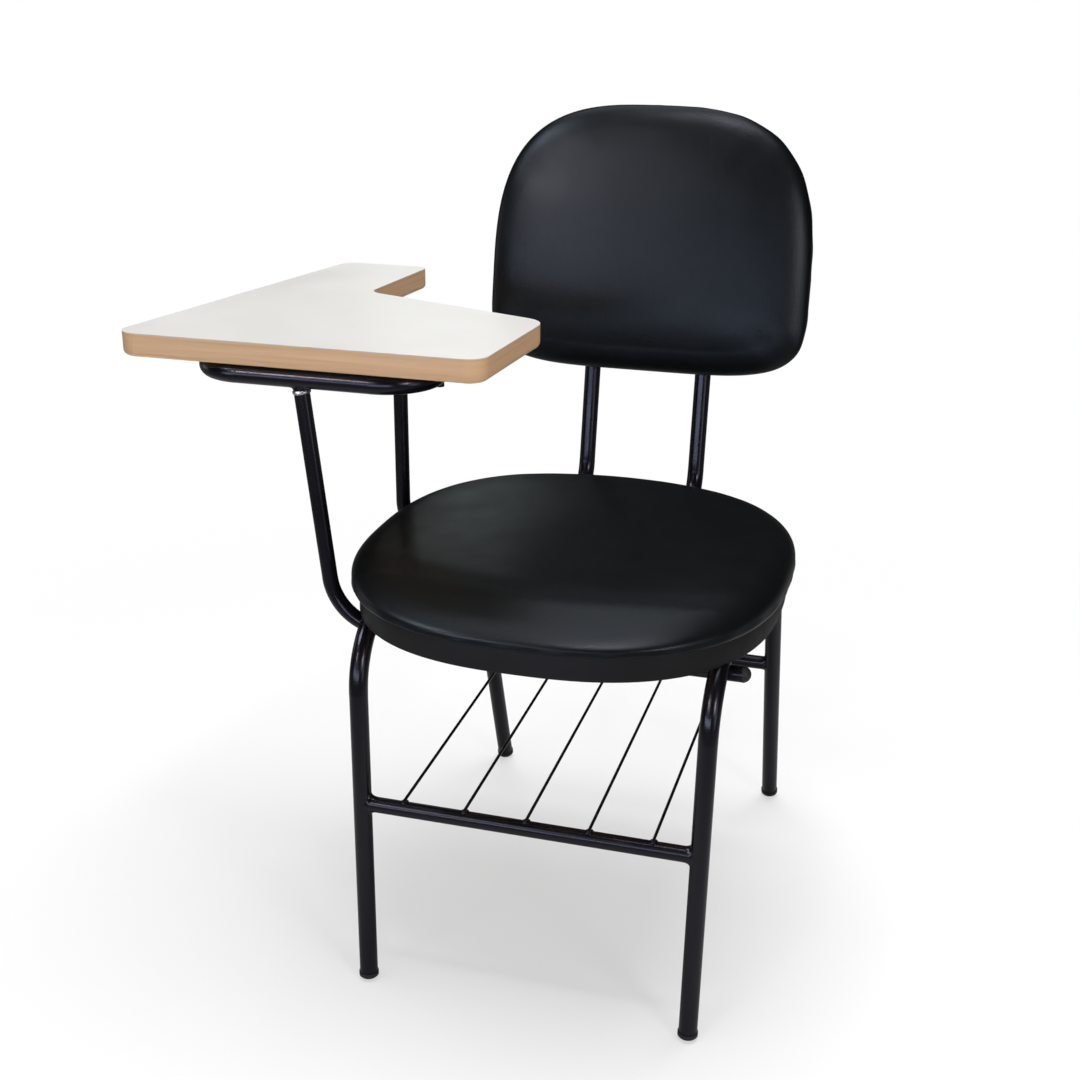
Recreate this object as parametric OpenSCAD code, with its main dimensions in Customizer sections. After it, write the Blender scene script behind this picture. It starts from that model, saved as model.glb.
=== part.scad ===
// Tablet arm chair: welded tube frame, padded seat and back, and a fixed writing tablet.
// Units are millimetres, +Z is up and the sitter faces -Y.
// The origin is on the floor, at the middle of the plan's outline box.

/* [Frame] */
// Outside diameter of the leg and back tubes
frame_tube_d = 19; // [16:0.5:25]
// Wall of the leg, back and loop tubes
frame_tube_wall = 1.5; // [1:0.1:2.5]
// Overhang of the seat past the front feet, on each side
seat_overhang = 51; // [45:1:60]
// How much farther apart the rear feet stand than the front feet
rear_foot_spread = 16; // [0:1:40]
// Distance from the front feet back to the rear feet
foot_depth = 503; // [470:1:540]
// Height of the side rails' centre line
rail_z = 397; // [370:1:430]
// Lean of the front legs, towards the rear at the top
front_leg_lean = 1.8; // [0:0.1:4]
// Rake of the rear legs, towards the front at the top
rear_leg_lean = 18.4; // [12:0.2:22]
// Outward slant of the side frames from the floor up
side_slant = 0.7; // [0:0.1:3]
// Centre-line radius of the leg bends
leg_bend_r = 72; // [60:1:90]

/* [Feet] */
// Outside diameter of the foot plugs
foot_plug_d = 20.5; // [17:0.5:27]
// Height of a foot plug's rim
foot_rim_h = 4; // [2:0.5:8]
// Height of a plug's domed end
foot_dome_h = 5; // [3:0.5:8]
// Depth to which a plug's stem fills its tube
foot_stem_l = 18; // [10:1:30]

/* [Basket] */
// Outside diameter of the cross tubes and of the risers
cross_tube_d = 16; // [13:0.5:19]
// Wall of the cross tubes and of the risers
cross_tube_wall = 1.2; // [0.9:0.1:2]
// Height of the front cross tube's centre line
front_cross_z = 207; // [180:1:240]
// Height of the rear cross tube's centre line
rear_cross_z = 218; // [180:1:250]
// Number of basket wires
wire_count = 5; // [3:1:7]
// Distance of the outer wires from the front feet, across the chair
wire_inset = 43; // [20:1:60]
// Diameter of a basket wire
wire_d = 3.2; // [2.5:0.1:5]

/* [Risers] */
// Distance of the front riser behind the front feet
front_riser_y = 64; // [55:1:75]
// Distance of the rear riser behind the front feet
rear_riser_y = 285; // [260:1:300]
// Centre-line radius of the riser bends
riser_bend_r = 55; // [48:1:56]
// How far inside the seat's widest line the front riser's corner lies
front_riser_inset = 2.5; // [-8:0.5:3]
// How far outside the seat's widest line the rear riser stands
rear_riser_gap = 9; // [8:0.5:16]
// Overhang of the cross members' plugged ends past the front feet
member_overhang = 25.5; // [20:0.5:35]

/* [Seat] */
// Width of the seat
seat_w = 444; // [420:1:470]
// Depth of the seat
seat_l = 459; // [430:1:480]
// Distance of the seat's middle behind the front feet
seat_y = 187.5; // [180:1:200]
// Squareness of the seat's outline
seat_exponent = 2.5; // [2.3:0.05:3.2]
// Thickness of the seat board
seat_board_t = 12; // [10:1:18]
// Height of the edge band below the cushion
seat_band_h = 26; // [18:1:27]
// Wall of the edge band
seat_band_t = 3; // [2:0.5:4]
// Height of the seat cushion at its crown
seat_cushion_h = 37; // [30:1:60]
// Drop of the cushion's front roll
seat_front_drop = 18; // [0:1:20]
// Length of the cushion's front roll, from its crease to the front edge
seat_roll_l = 66; // [50:2:120]
// Sweep of the roll's crease to the rear at the seat's sides
seat_roll_bow = 50; // [0:5:80]
// Width that the cushion's sides draw in at the seam
seat_draw_in = 7; // [3:0.5:12]

/* [Back] */
// Centre distance of the two back tubes
back_tube_spacing = 135; // [110:1:160]
// Distance from the front feet to the back tubes' corner
back_corner_y = 480; // [470:1:495]
// Lean of the back
back_lean = 9.9; // [6:0.1:14]
// Centre-line radius of the back tubes' bends
back_bend_r = 48; // [40:1:80]
// Length of a back tube above its corner
back_tube_rise = 345; // [300:1:380]
// Width of the backrest
back_w = 377; // [350:1:420]
// Height of the backrest above its widest line
back_upper_h = 203; // [180:1:230]
// Height of the backrest below its widest line
back_lower_h = 102; // [80:1:110]
// Distance of the backrest's widest line above the back tubes' corner
back_widest_rise = 257; // [240:1:280]
// Squareness of the upper corners
back_upper_exponent = 3; // [2.4:0.1:4]
// Squareness of the lower corners
back_lower_exponent = 4.3; // [3:0.1:6]
// Thickness of the back board
back_board_t = 12; // [9:1:15]
// Wall of the rear cover
back_cover_t = 3; // [2:0.5:4]
// Thickness of the back cushion at its crown
back_cushion_t = 36; // [25:1:50]
// Width that the cushion's sides draw in at the seam
back_draw_in = 6; // [3:0.5:10]

/* [Tablet] */
// Height of the writing surface above the floor
tablet_top_z = 664.5; // [640:0.5:700]
// Thickness of the tablet with its laminate
tablet_t = 24.5; // [20:0.5:30]
// Width of the tablet along its front edge
tablet_w = 384; // [350:1:400]
// Length of the tablet with its armrest
tablet_l = 420; // [400:1:440]
// Overlap of the tablet over the seat, from the seat's side to the tablet's inner side
tablet_overlap = 164; // [140:1:180]
// Distance of the tablet's front edge ahead of the loop's front run
tablet_front_lead = 13; // [10:1:30]
// Inward slant of the outer edge over the tablet's length
tablet_outer_slant = 72; // [40:1:90]
// Length of the tablet's inner side
tablet_side_l = 178; // [150:1:200]
// Radius of the tablet's rounded corners
tablet_corner_r = 20; // [15:1:25]
// Width of the armrest
armrest_w = 106; // [90:1:120]
// Thickness of the laminate
laminate_t = 0.8; // [0.5:0.1:1.5]
// Width of the edge strip round the board, seen from below
edge_strip_w = 7; // [6.5:0.5:8]
// Radius of the edge strip's lower edge
edge_round_r = 6; // [3:0.5:6]

/* [Loop] */
// Outside diameter of the support loop's tube
loop_tube_d = 20; // [19:0.5:25]
// Length of the support loop across the chair, on its centre line
loop_w = 238; // [220:1:250]
// Centre-line radius of the loop's corners
loop_corner_r = 48; // [40:1:60]
// Distance of the loop's middle from the tablet's inner side
loop_inset = 186; // [178:1:192]
// How far outside the loop's middle the front riser meets it
front_riser_landing = 3.5; // [-20:0.5:20]
// How far inside the loop's middle the rear riser meets it
rear_riser_landing = 13; // [-20:0.5:20]

/* [Fasteners] */
// Diameter of the seat and back screws
screw_d = 6; // [5:0.5:8]
// Diameter of the tablet's wood screws
wood_screw_d = 4.5; // [3.5:0.5:5]
// Thickness of the seat tabs
tab_t = 3; // [2:0.5:4]
// Width of a seat tab along its rail
tab_w = 36; // [28:1:45]
// Reach of a seat tab inward from its rail
tab_reach = 40; // [32:1:50]

/* [Hidden] */

// Facets of a tube and of a bend
tube_fn = 32;
bend_fn = 96;
// Overrun of every cut past its faces
cut = 1;
// Gap left at a welded or seated contact
seat_gap = 0.2;
// Clearance round a screw or a plug's stem
fit_gap = 0.2;
// Length and thinning of a straight run where it laps into a bend
bend_lap = 0.5;
lap_step = 0.1;
// Sag of a foot's dome below the floor before its flat is cut
foot_flat_sag = 0.4;

tube_r = frame_tube_d / 2;
cross_r = cross_tube_d / 2;

// Places across the chair, all taken from the seat's width
front_foot_spacing = seat_w - 2 * seat_overhang;
rear_foot_spacing = front_foot_spacing + rear_foot_spread;
wire_pitch = (front_foot_spacing - 2 * wire_inset) / (wire_count - 1);
front_riser_x = seat_w / 2 - front_riser_inset;
rear_riser_x = seat_w / 2 + rear_riser_gap;
cross_reach = front_foot_spacing / 2 + member_overhang;
tablet_inner_x = seat_w / 2 - tablet_overlap;
loop_x = tablet_inner_x + loop_inset;

// Plug ends
foot_dome_r = (pow(foot_plug_d / 2, 2) + pow(foot_dome_h, 2)) / (2 * foot_dome_h);
foot_dome_z = foot_dome_r - foot_flat_sag;
tube_end_offset = foot_dome_h + foot_rim_h - foot_dome_r;
plug_dome_share = 0.42;
plug_stem_share = 0.9;

// Proportions of screws and insert nuts
nut_flange_share = 3;
nut_barrel_share = 1.5;
head_width_share = 2;
head_height_share = 0.6;
slot_length_share = 0.65;
slot_width_share = 0.12;

// Proportions of the tablet's notch and armrest
notch_depth_share = 0.2;
notch_round_share = 1.5;
armrest_flare_share = 0.03;
armrest_round_share = 0.6;

// Side frame, in its own upright plane, where x runs to the rear and y runs up
front_corner = [(rail_z - foot_dome_z) * tan(front_leg_lean), rail_z];
rear_corner = [foot_depth - (rail_z - foot_dome_z) * tan(rear_leg_lean), rail_z];
front_tube_end = [tube_end_offset * sin(front_leg_lean), foot_dome_z + tube_end_offset * cos(front_leg_lean)];
rear_tube_end = [
    foot_depth - tube_end_offset * sin(rear_leg_lean),
    foot_dome_z + tube_end_offset * cos(rear_leg_lean)
];
side_path = [front_tube_end, front_corner, rear_corner, rear_tube_end];
side_toe = atan((rear_foot_spacing - front_foot_spacing) / 2 / foot_depth);
front_bend_tangent = leg_bend_r * tan((90 - front_leg_lean) / 2);
front_bend_centre = [front_corner[0] + front_bend_tangent, rail_z - leg_bend_r];

// Cross members run on the underside of the side rails
cross_drop = tube_r + cross_r + seat_gap;
function cross_height(y) =
    y >= front_bend_centre[0] ? rail_z - cross_drop
    : front_bend_centre[1] + sqrt(pow(leg_bend_r - cross_drop, 2) - pow(front_bend_centre[0] - y, 2));
front_member_z = cross_height(front_riser_y);
rear_member_z = cross_height(rear_riser_y);

// Support loop and tablet
tablet_bottom_z = tablet_top_z - tablet_t;
loop_r = loop_tube_d / 2;
loop_z = tablet_bottom_z - seat_gap - loop_r;
loop_front_y = front_riser_y;
loop_rear_y = rear_riser_y;
tablet_front_y = front_riser_y - tablet_front_lead;
tablet_left_x = -tablet_inner_x - tablet_w;
tablet_rear_y = tablet_front_y + tablet_l;

// Seat levels
seat_bottom_z = rail_z + tube_r + seat_gap;
seat_board_top_z = seat_bottom_z + seat_board_t;
seat_band_top_z = seat_board_top_z;
seat_cushion_z = seat_board_top_z + seat_gap;

// Back levels, along the local thickness direction, with 0 on the back tubes' axis
back_cover_y = -tube_r - seat_gap;
back_board_y = back_cover_y - back_cover_t - seat_gap;
back_board_front_y = back_board_y - back_board_t;
back_cushion_y = back_board_front_y - seat_gap;

// Unit vector and angle helpers for flat paths
function unit_dir(a, b) = (b - a) / norm(b - a);
function dir_angle(v) = atan2(v[1], v[0]);
function turn_angle(a, b, c) =
    let (u = unit_dir(a, b), v = unit_dir(b, c))
    atan2(u[0] * v[1] - u[1] * v[0], u * v);
function corner_tangent(a, b, c, r) = r * tan(abs(turn_angle(a, b, c)) / 2);

// Straight tube from a to b in the XY plane
module straight_tube(a, b, d, wall) {
    translate([a[0], a[1], 0])
        rotate([0, 0, dir_angle(b - a)])
            rotate([0, 90, 0])
                difference() {
                    cylinder(h = norm(b - a), d = d, $fn = tube_fn);
                    translate([0, 0, -cut])
                        cylinder(h = norm(b - a) + 2 * cut, d = d - 2 * wall, $fn = tube_fn);
                }
}

// Straight run that laps into the bends at its ends, a hair thinner than their wall on both faces
module lapped_run(a, b, lap_a, lap_b, d, wall) {
    straight_tube(
        a - lap_a * unit_dir(a, b), b + lap_b * unit_dir(a, b),
        d - 2 * lap_step, wall - 2 * lap_step
    );
}

// Bend that joins the legs a-b and b-c in the XY plane
module corner_bend(a, b, c, r, d, wall) {
    turn = turn_angle(a, b, c);
    start = b - corner_tangent(a, b, c, r) * unit_dir(a, b);
    side = sign(turn);
    normal = side * [-unit_dir(a, b)[1], unit_dir(a, b)[0]];
    centre = start + r * normal;
    first_angle = turn > 0 ? dir_angle(start - centre) : dir_angle(start - centre) + turn;
    translate([centre[0], centre[1], 0])
        rotate([0, 0, first_angle])
            rotate_extrude(angle = abs(turn), $fn = bend_fn)
                translate([r, 0])
                    difference() {
                        circle(d = d, $fn = tube_fn);
                        circle(d = d - 2 * wall, $fn = tube_fn);
                    }
}

// Tube along an open path with one bend radius
module bent_tube(path, r, d, wall) {
    last = len(path) - 1;
    for (i = [0 : last - 1]) {
        a = path[i];
        b = path[i + 1];
        lead = i == 0 ? 0 : corner_tangent(path[i - 1], a, b, r);
        trail = i == last - 1 ? 0 : corner_tangent(a, b, path[i + 2], r);
        lapped_run(
            a + lead * unit_dir(a, b), b - trail * unit_dir(a, b),
            i == 0 ? 0 : bend_lap, i == last - 1 ? 0 : bend_lap, d, wall
        );
    }
    for (i = [1 : last - 1])
        corner_bend(path[i - 1], path[i], path[i + 1], r, d, wall);
}

// Closed rectangular tube loop about the origin, in the XY plane
module tube_ring(w, l, r, d, wall) {
    corners = [[-w / 2, -l / 2], [w / 2, -l / 2], [w / 2, l / 2], [-w / 2, l / 2]];
    for (i = [0 : 3]) {
        a = corners[i];
        b = corners[(i + 1) % 4];
        c = corners[(i + 2) % 4];
        lapped_run(a + r * unit_dir(a, b), b - r * unit_dir(a, b), bend_lap, bend_lap, d, wall);
        corner_bend(a, b, c, r, d, wall);
    }
}

// Solid rod from a to b in the XY plane, used as a cutter for coped ends
module solid_rod(a, b, d) {
    translate([a[0], a[1], 0])
        rotate([0, 0, dir_angle(b - a)])
            rotate([0, 90, 0])
                cylinder(h = norm(b - a), d = d, $fn = tube_fn);
}

// Moves a piece from the chair's middle line to the part's origin
module placed() {
    translate([-origin_x, -origin_y, 0])
        children();
}

// Turns a flat path upright: path x becomes depth and path y becomes height
module upright_along_depth() {
    rotate([90, 0, 90])
        children();
}

// Turns a flat path upright across the chair
module upright_across() {
    rotate([90, 0, 0])
        children();
}

// Place of a side rail, upright: side is 1 for +X and -1 for -X
module rail_place(side) {
    mirror([side > 0 ? 0 : 1, 0, 0])
        translate([front_foot_spacing / 2 + rail_z * tan(side_slant), 0, 0])
            rotate([0, 0, -side_toe])
                children();
}

// Place of a side frame, slanted about its rail
module side_place(side) {
    rail_place(side)
        translate([0, 0, rail_z])
            rotate([0, side_slant, 0])
                translate([0, 0, -rail_z])
                    children();
}

// Place of the backrest, with local Z along the back tubes and local Y through the back
module back_place() {
    translate([0, back_corner_y, rail_z])
        rotate([-back_lean, 0, 0])
            children();
}

// Domed plug about Z: its stem points down into the tube's end at the origin
module end_plug(head_d, rim_h, dome_h, stem_l, bore_d) {
    dome_r = (pow(head_d / 2, 2) + pow(dome_h, 2)) / (2 * dome_h);
    translate([0, 0, -stem_l])
        cylinder(h = stem_l, d = bore_d - 2 * fit_gap, $fn = tube_fn);
    cylinder(h = rim_h, d = head_d, $fn = tube_fn);
    intersection() {
        translate([0, 0, rim_h + dome_h - dome_r])
            sphere(r = dome_r, $fn = 2 * tube_fn);
        translate([0, 0, rim_h])
            cylinder(h = 2 * dome_h, d = head_d, $fn = tube_fn);
    }
}

// Side frames: one bent tube each, with a front leg, a rail and a raked rear leg
module side_frame(side) {
    color([0.09, 0.08, 0.09])
        placed()
            side_place(side)
                upright_along_depth()
                    bent_tube(side_path, leg_bend_r, frame_tube_d, frame_tube_wall);
}

// Cutter that copes a cross tube onto the front or rear legs
module leg_cutters(front) {
    for (side = [-1, 1])
        side_place(side)
            upright_along_depth()
                if (front)
                    solid_rod(front_tube_end, front_corner, frame_tube_d + 2 * seat_gap);
                else
                    solid_rod(rear_corner, rear_tube_end, frame_tube_d + 2 * seat_gap);
}

// Straight tube across the chair between two legs
module leg_cross_tube(y, z, span, front) {
    color([0.09, 0.08, 0.09])
        placed()
            difference() {
                translate([0, y, z])
                    upright_across()
                        straight_tube([-span / 2, 0], [span / 2, 0], cross_tube_d, cross_tube_wall);
                leg_cutters(front);
            }
}
front_cross_y = (front_cross_z - foot_dome_z) * tan(front_leg_lean);
rear_cross_y = foot_depth - (rear_cross_z - foot_dome_z) * tan(rear_leg_lean);
module front_cross_tube() {
    leg_cross_tube(front_cross_y, front_cross_z, front_foot_spacing, true);
}
module rear_cross_tube() {
    leg_cross_tube(rear_cross_y, rear_cross_z, front_foot_spacing + 2 * rear_cross_y * tan(side_toe), false);
}

// Basket wire laid on top of both cross tubes
wire_rise = cross_r + wire_d / 2 + seat_gap;
wire_overhang = cross_r / 2;
module basket_wire(index) {
    x = (index - (wire_count - 1) / 2) * wire_pitch;
    slope = atan2(rear_cross_z - front_cross_z, rear_cross_y - front_cross_y);
    run = norm([rear_cross_y - front_cross_y, rear_cross_z - front_cross_z]);
    color([0.08, 0.08, 0.08])
        placed()
            translate([x, front_cross_y, front_cross_z])
                rotate([slope, 0, 0])
                    translate([0, -wire_overhang, wire_rise])
                        rotate([-90, 0, 0])
                            cylinder(h = run + 2 * wire_overhang, d = wire_d, $fn = tube_fn);
}

// Riser: the cross member under the seat and the upright that carries the loop, in one bent tube
front_riser_top_x = -loop_x - front_riser_landing;
rear_riser_top_x = -loop_x + rear_riser_landing;
module riser_tube(y, member_z, foot_x, top_x) {
    color([0.09, 0.08, 0.09])
        placed()
            difference() {
                translate([0, y, 0])
                    upright_across()
                        bent_tube(
                            [[cross_reach, member_z], [foot_x, member_z], [top_x, loop_z]],
                            riser_bend_r, cross_tube_d, cross_tube_wall
                        );
                translate([-loop_x, y, loop_z])
                    solid_rod([-loop_w, 0], [loop_w, 0], loop_tube_d + 2 * seat_gap);
            }
}
module front_riser_tube() {
    riser_tube(front_riser_y, front_member_z, -front_riser_x, front_riser_top_x);
}
module rear_riser_tube() {
    riser_tube(rear_riser_y, rear_member_z, -rear_riser_x, rear_riser_top_x);
}
module riser_plug(y, member_z) {
    color([0.05, 0.05, 0.05])
        placed()
            translate([cross_reach, y, member_z])
                rotate([0, 90, 0])
                    end_plug(
                        cross_tube_d, cross_tube_wall, cross_r * 2 * plug_dome_share,
                        foot_stem_l * plug_stem_share, cross_tube_d - 2 * cross_tube_wall
                    );
}

// Back tubes: a run on top of the cross members, and an upright behind the backrest
back_path = [
    [front_riser_y - cross_r, rail_z],
    [back_corner_y, rail_z],
    [back_corner_y + back_tube_rise * sin(back_lean), rail_z + back_tube_rise * cos(back_lean)]
];
back_screw_rises = [back_widest_rise - back_lower_h / 2, back_tube_rise - 2 * frame_tube_d];
module back_tube(side) {
    color([0.09, 0.08, 0.09])
        placed()
            difference() {
                translate([side * back_tube_spacing / 2, 0, 0])
                    upright_along_depth()
                        bent_tube(back_path, back_bend_r, frame_tube_d, frame_tube_wall);
                back_place()
                    for (rise = back_screw_rises)
                        translate([side * back_tube_spacing / 2, -frame_tube_d, rise])
                            rotate([-90, 0, 0])
                                cylinder(h = 2 * frame_tube_d, d = screw_d + 2 * fit_gap, $fn = tube_fn);
            }
}
module back_tube_plugs() {
    color([0.05, 0.05, 0.05])
        placed()
            for (side = [-1, 1]) {
                back_place()
                    translate([side * back_tube_spacing / 2, 0, back_tube_rise])
                        end_plug(
                            frame_tube_d, frame_tube_wall, frame_tube_d * plug_dome_share,
                            foot_stem_l * plug_stem_share, frame_tube_d - 2 * frame_tube_wall
                        );
                translate([side * back_tube_spacing / 2, back_path[0][0], rail_z])
                    rotate([90, 0, 0])
                        end_plug(
                            frame_tube_d, frame_tube_wall, frame_tube_d * plug_dome_share,
                            foot_stem_l, frame_tube_d - 2 * frame_tube_wall
                        );
            }
}

// Foot plugs, cut flat where they stand on the floor
module foot_plug(side, front) {
    end = front ? front_tube_end : rear_tube_end;
    lean = front ? -front_leg_lean : rear_leg_lean;
    color([0.05, 0.05, 0.05])
        placed()
            difference() {
                side_place(side)
                    translate([0, end[0], end[1]])
                        rotate([180 + lean, 0, 0])
                            end_plug(
                                foot_plug_d, foot_rim_h, foot_dome_h, foot_stem_l,
                                frame_tube_d - 2 * frame_tube_wall
                            );
                translate([-front_foot_spacing, -foot_depth, -2 * foot_plug_d])
                    cube([2 * rear_foot_spacing, 3 * foot_depth, 2 * foot_plug_d]);
            }
}

// Steel tabs welded inside the rails, that take the seat's screws
tab_ys = [front_bend_centre[0] + tab_w, rear_corner[0] - leg_bend_r - tab_w / 2];
tab_hole_x = -tab_reach + tab_w / 3;
tab_z = seat_bottom_z - seat_gap - tab_t;
module seat_tab(side, y) {
    color([0.10, 0.09, 0.10])
        placed()
            rail_place(side)
                difference() {
                    translate([-tab_reach, y - tab_w / 2, tab_z])
                        cube([tab_reach, tab_w, tab_t]);
                    translate([0, y - tab_w, rail_z])
                        rotate([-90, 0, 0])
                            cylinder(h = 2 * tab_w, d = frame_tube_d + 2 * seat_gap, $fn = 2 * tube_fn);
                    translate([tab_hole_x, y, tab_z - cut])
                        cylinder(h = tab_t + 2 * cut, d = screw_d + 2 * fit_gap, $fn = tube_fn);
                }
}
module at_tab_holes() {
    for (side = [-1, 1])
        for (y = tab_ys)
            rail_place(side)
                translate([tab_hole_x, y, 0])
                    children();
}

// Superellipse outline of the seat, drawn in by a margin
outline_count = 64;
function signed_power(v, p) = sign(v) * pow(abs(v), p);
function squircle_point(t, a, b, n) = [a * signed_power(cos(t), 2 / n), b * signed_power(sin(t), 2 / n)];
function seat_outline(margin) = [
    for (i = [0 : outline_count - 1])
        squircle_point(360 * i / outline_count, seat_w / 2 - margin, seat_l / 2 - margin, seat_exponent)
];
// Backrest outline about its widest line, with rounder corners above than below
function back_outline(margin) = [
    for (i = [0 : outline_count - 1])
        let (t = 360 * i / outline_count, upper = t <= 180)
        squircle_point(
            t, back_w / 2 - margin,
            (upper ? back_upper_h : back_lower_h) - margin,
            upper ? back_upper_exponent : back_lower_exponent
        )
];

// Barrel and flange of an insert nut hold a screw in a board
nut_flange_d = nut_flange_share * screw_d;
nut_flange_t = screw_d / 4;
nut_barrel_d = nut_barrel_share * screw_d;
seat_nut_h = seat_board_t - nut_flange_t;

module seat_board() {
    color([0.72, 0.58, 0.40])
        placed()
            difference() {
                translate([0, seat_y, seat_bottom_z])
                    linear_extrude(height = seat_board_t)
                        polygon(seat_outline(seat_draw_in + seat_band_t + seat_gap));
                at_tab_holes() {
                    translate([0, 0, seat_bottom_z - cut])
                        cylinder(h = seat_board_t + 2 * cut, d = nut_barrel_d + 2 * fit_gap, $fn = tube_fn);
                    translate([0, 0, seat_board_top_z - nut_flange_t - seat_gap])
                        cylinder(h = nut_flange_t + cut, d = nut_flange_d + 2 * fit_gap, $fn = tube_fn);
                }
            }
}

// Edge band round the seat board, its lower lip hanging below the board
module seat_edge_band() {
    color([0.11, 0.10, 0.11])
        placed()
            translate([0, seat_y, seat_band_top_z - seat_band_h])
                linear_extrude(height = seat_band_h)
                    difference() {
                        polygon(seat_outline(seat_draw_in));
                        polygon(seat_outline(seat_draw_in + seat_band_t));
                    }
}

// Insert nut about Z, its flange on top and its barrel below
module insert_nut(barrel_h) {
    difference() {
        union() {
            cylinder(h = barrel_h, d = nut_barrel_d, $fn = tube_fn);
            translate([0, 0, barrel_h - nut_flange_t])
                cylinder(h = nut_flange_t, d = nut_flange_d, $fn = tube_fn);
        }
        translate([0, 0, -cut])
            cylinder(h = barrel_h + 2 * cut, d = screw_d + fit_gap, $fn = tube_fn);
    }
}
module seat_insert_nuts() {
    color([0.70, 0.70, 0.72])
        placed()
            at_tab_holes()
                translate([0, 0, seat_board_top_z - seat_nut_h - seat_gap])
                    insert_nut(seat_nut_h);
}

// Pan-head screw about Z, its head below the origin and its shank above
module pan_screw(shank_l, d) {
    head_d = head_width_share * d;
    head_h = head_height_share * d;
    cylinder(h = shank_l, d = d, $fn = tube_fn);
    difference() {
        translate([0, 0, -head_h])
            cylinder(h = head_h, d = head_d, $fn = tube_fn);
        for (angle = [0, 90])
            rotate([0, 0, angle])
                translate([0, 0, -head_h])
                    cube([head_d * slot_length_share, head_d * slot_width_share, head_h], center = true);
    }
}
module seat_screws() {
    color([0.62, 0.62, 0.64])
        placed()
            at_tab_holes()
                translate([0, 0, tab_z - seat_gap])
                    pan_screw(seat_board_t, screw_d);
}

// Rings of a cushion's side and crown, as shares of its outline and of its height
cushion_ring_shares = [
    [0, 0], [0.55, 0.1], [0.86, 0.22], [1, 0.38], [0.97, 0.54], [0.8, 0.68], [0.45, 0.8]
];
crown_ring_shares = [[0.93, 0.9], [0.84, 0.96], [0.68, 0.99], [0.48, 1], [0.25, 0.985]];

// Closed cushion surface: side rings swell out from the seam, crown rings close over the top.
// Each ring is the outline scaled about its middle, and the drop function lowers the front.
function ring_points(outline, scale_x, scale_y, z, roll) = [
    for (p = outline)
        let (q = [p[0] * scale_x, p[1] * scale_y])
        [q[0], q[1], z - roll_drop(q, roll, z)]
];
// The roll is [front edge, length, drop, cushion height, half width, sweep at the sides]
function roll_drop(p, roll, z) =
    let (
        crease_y = roll[0] + roll[1] + roll[5] * pow(p[0] / roll[4], 2),
        share = max(0, (crease_y - p[1]) / roll[1])
    )
    roll[2] * pow(min(share, 1), 2) * (z / roll[3]);
function ring_faces(rings, n) = [
    for (k = [0 : rings - 2])
        for (i = [0 : n - 1])
            each [
                [k * n + i, (k + 1) * n + i, k * n + (i + 1) % n],
                [k * n + (i + 1) % n, (k + 1) * n + i, (k + 1) * n + (i + 1) % n]
            ]
];
function fan_faces(first, n, centre, up) = [
    for (i = [0 : n - 1])
        up ? [first + i, centre, first + (i + 1) % n] : [first + (i + 1) % n, centre, first + i]
];
module cushion_solid(outline_of, draw_in, h, roll) {
    n = outline_count;
    side_points = [
        for (share = cushion_ring_shares)
            each ring_points(outline_of(draw_in * (1 - share[0])), 1, 1, h * share[1], roll)
    ];
    crown_points = [
        for (share = crown_ring_shares)
            each ring_points(outline_of(0), share[0], share[0], h * share[1], roll)
    ];
    rings = len(cushion_ring_shares) + len(crown_ring_shares);
    points = concat(
        side_points, crown_points,
        [[0, 0, 0], [0, 0, h * crown_ring_shares[len(crown_ring_shares) - 1][1]]]
    );
    polyhedron(
        points = points,
        faces = concat(
            ring_faces(rings, n),
            fan_faces(0, n, rings * n, false),
            fan_faces((rings - 1) * n, n, rings * n + 1, true)
        ),
        convexity = 4
    );
}
module seat_cushion() {
    color([0.10, 0.11, 0.11])
        placed()
            translate([0, seat_y, seat_cushion_z])
                cushion_solid(
                    function (margin) seat_outline(margin), seat_draw_in, seat_cushion_h,
                    [-seat_l / 2, seat_roll_l, seat_front_drop, seat_cushion_h, seat_w / 2, seat_roll_bow]
                );
}

// Backrest: cushion in front, board behind it, and a cover that wraps the board's edge and rear
module back_cushion() {
    color([0.10, 0.11, 0.11])
        placed()
            back_place()
                translate([0, back_cushion_y, back_widest_rise])
                    rotate([90, 0, 0])
                        cushion_solid(
                            function (margin) back_outline(margin), back_draw_in, back_cushion_t,
                            [-back_lower_h, back_lower_h, 0, back_cushion_t, back_w / 2, 0]
                        );
}
module at_back_holes() {
    back_place()
        for (side = [-1, 1])
            for (rise = back_screw_rises)
                translate([side * back_tube_spacing / 2, 0, rise])
                    rotate([90, 0, 0])
                        children();
}
module back_board() {
    color([0.72, 0.58, 0.40])
        placed()
            difference() {
                back_place()
                    translate([0, back_board_y, back_widest_rise])
                        rotate([90, 0, 0])
                            linear_extrude(height = back_board_t)
                                polygon(back_outline(back_draw_in + back_cover_t + seat_gap));
                at_back_holes() {
                    translate([0, 0, -back_board_y - cut])
                        cylinder(h = back_board_t + 2 * cut, d = nut_barrel_d + 2 * fit_gap, $fn = tube_fn);
                    translate([0, 0, -back_board_front_y - nut_flange_t - seat_gap])
                        cylinder(h = nut_flange_t + cut, d = nut_flange_d + 2 * fit_gap, $fn = tube_fn);
                }
            }
}
module back_cover() {
    color([0.09, 0.09, 0.09])
        placed()
            difference() {
                back_place()
                    translate([0, back_cover_y, back_widest_rise])
                        rotate([90, 0, 0])
                            difference() {
                                linear_extrude(height = back_cover_t + seat_gap + back_board_t)
                                    polygon(back_outline(back_draw_in));
                                translate([0, 0, back_cover_t])
                                    linear_extrude(height = seat_gap + back_board_t + cut)
                                        polygon(back_outline(back_draw_in + back_cover_t));
                            }
                at_back_holes()
                    cylinder(h = -back_board_front_y, d = screw_d + 2 * fit_gap, $fn = tube_fn);
            }
}
back_nut_h = back_board_t - nut_flange_t;
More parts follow.
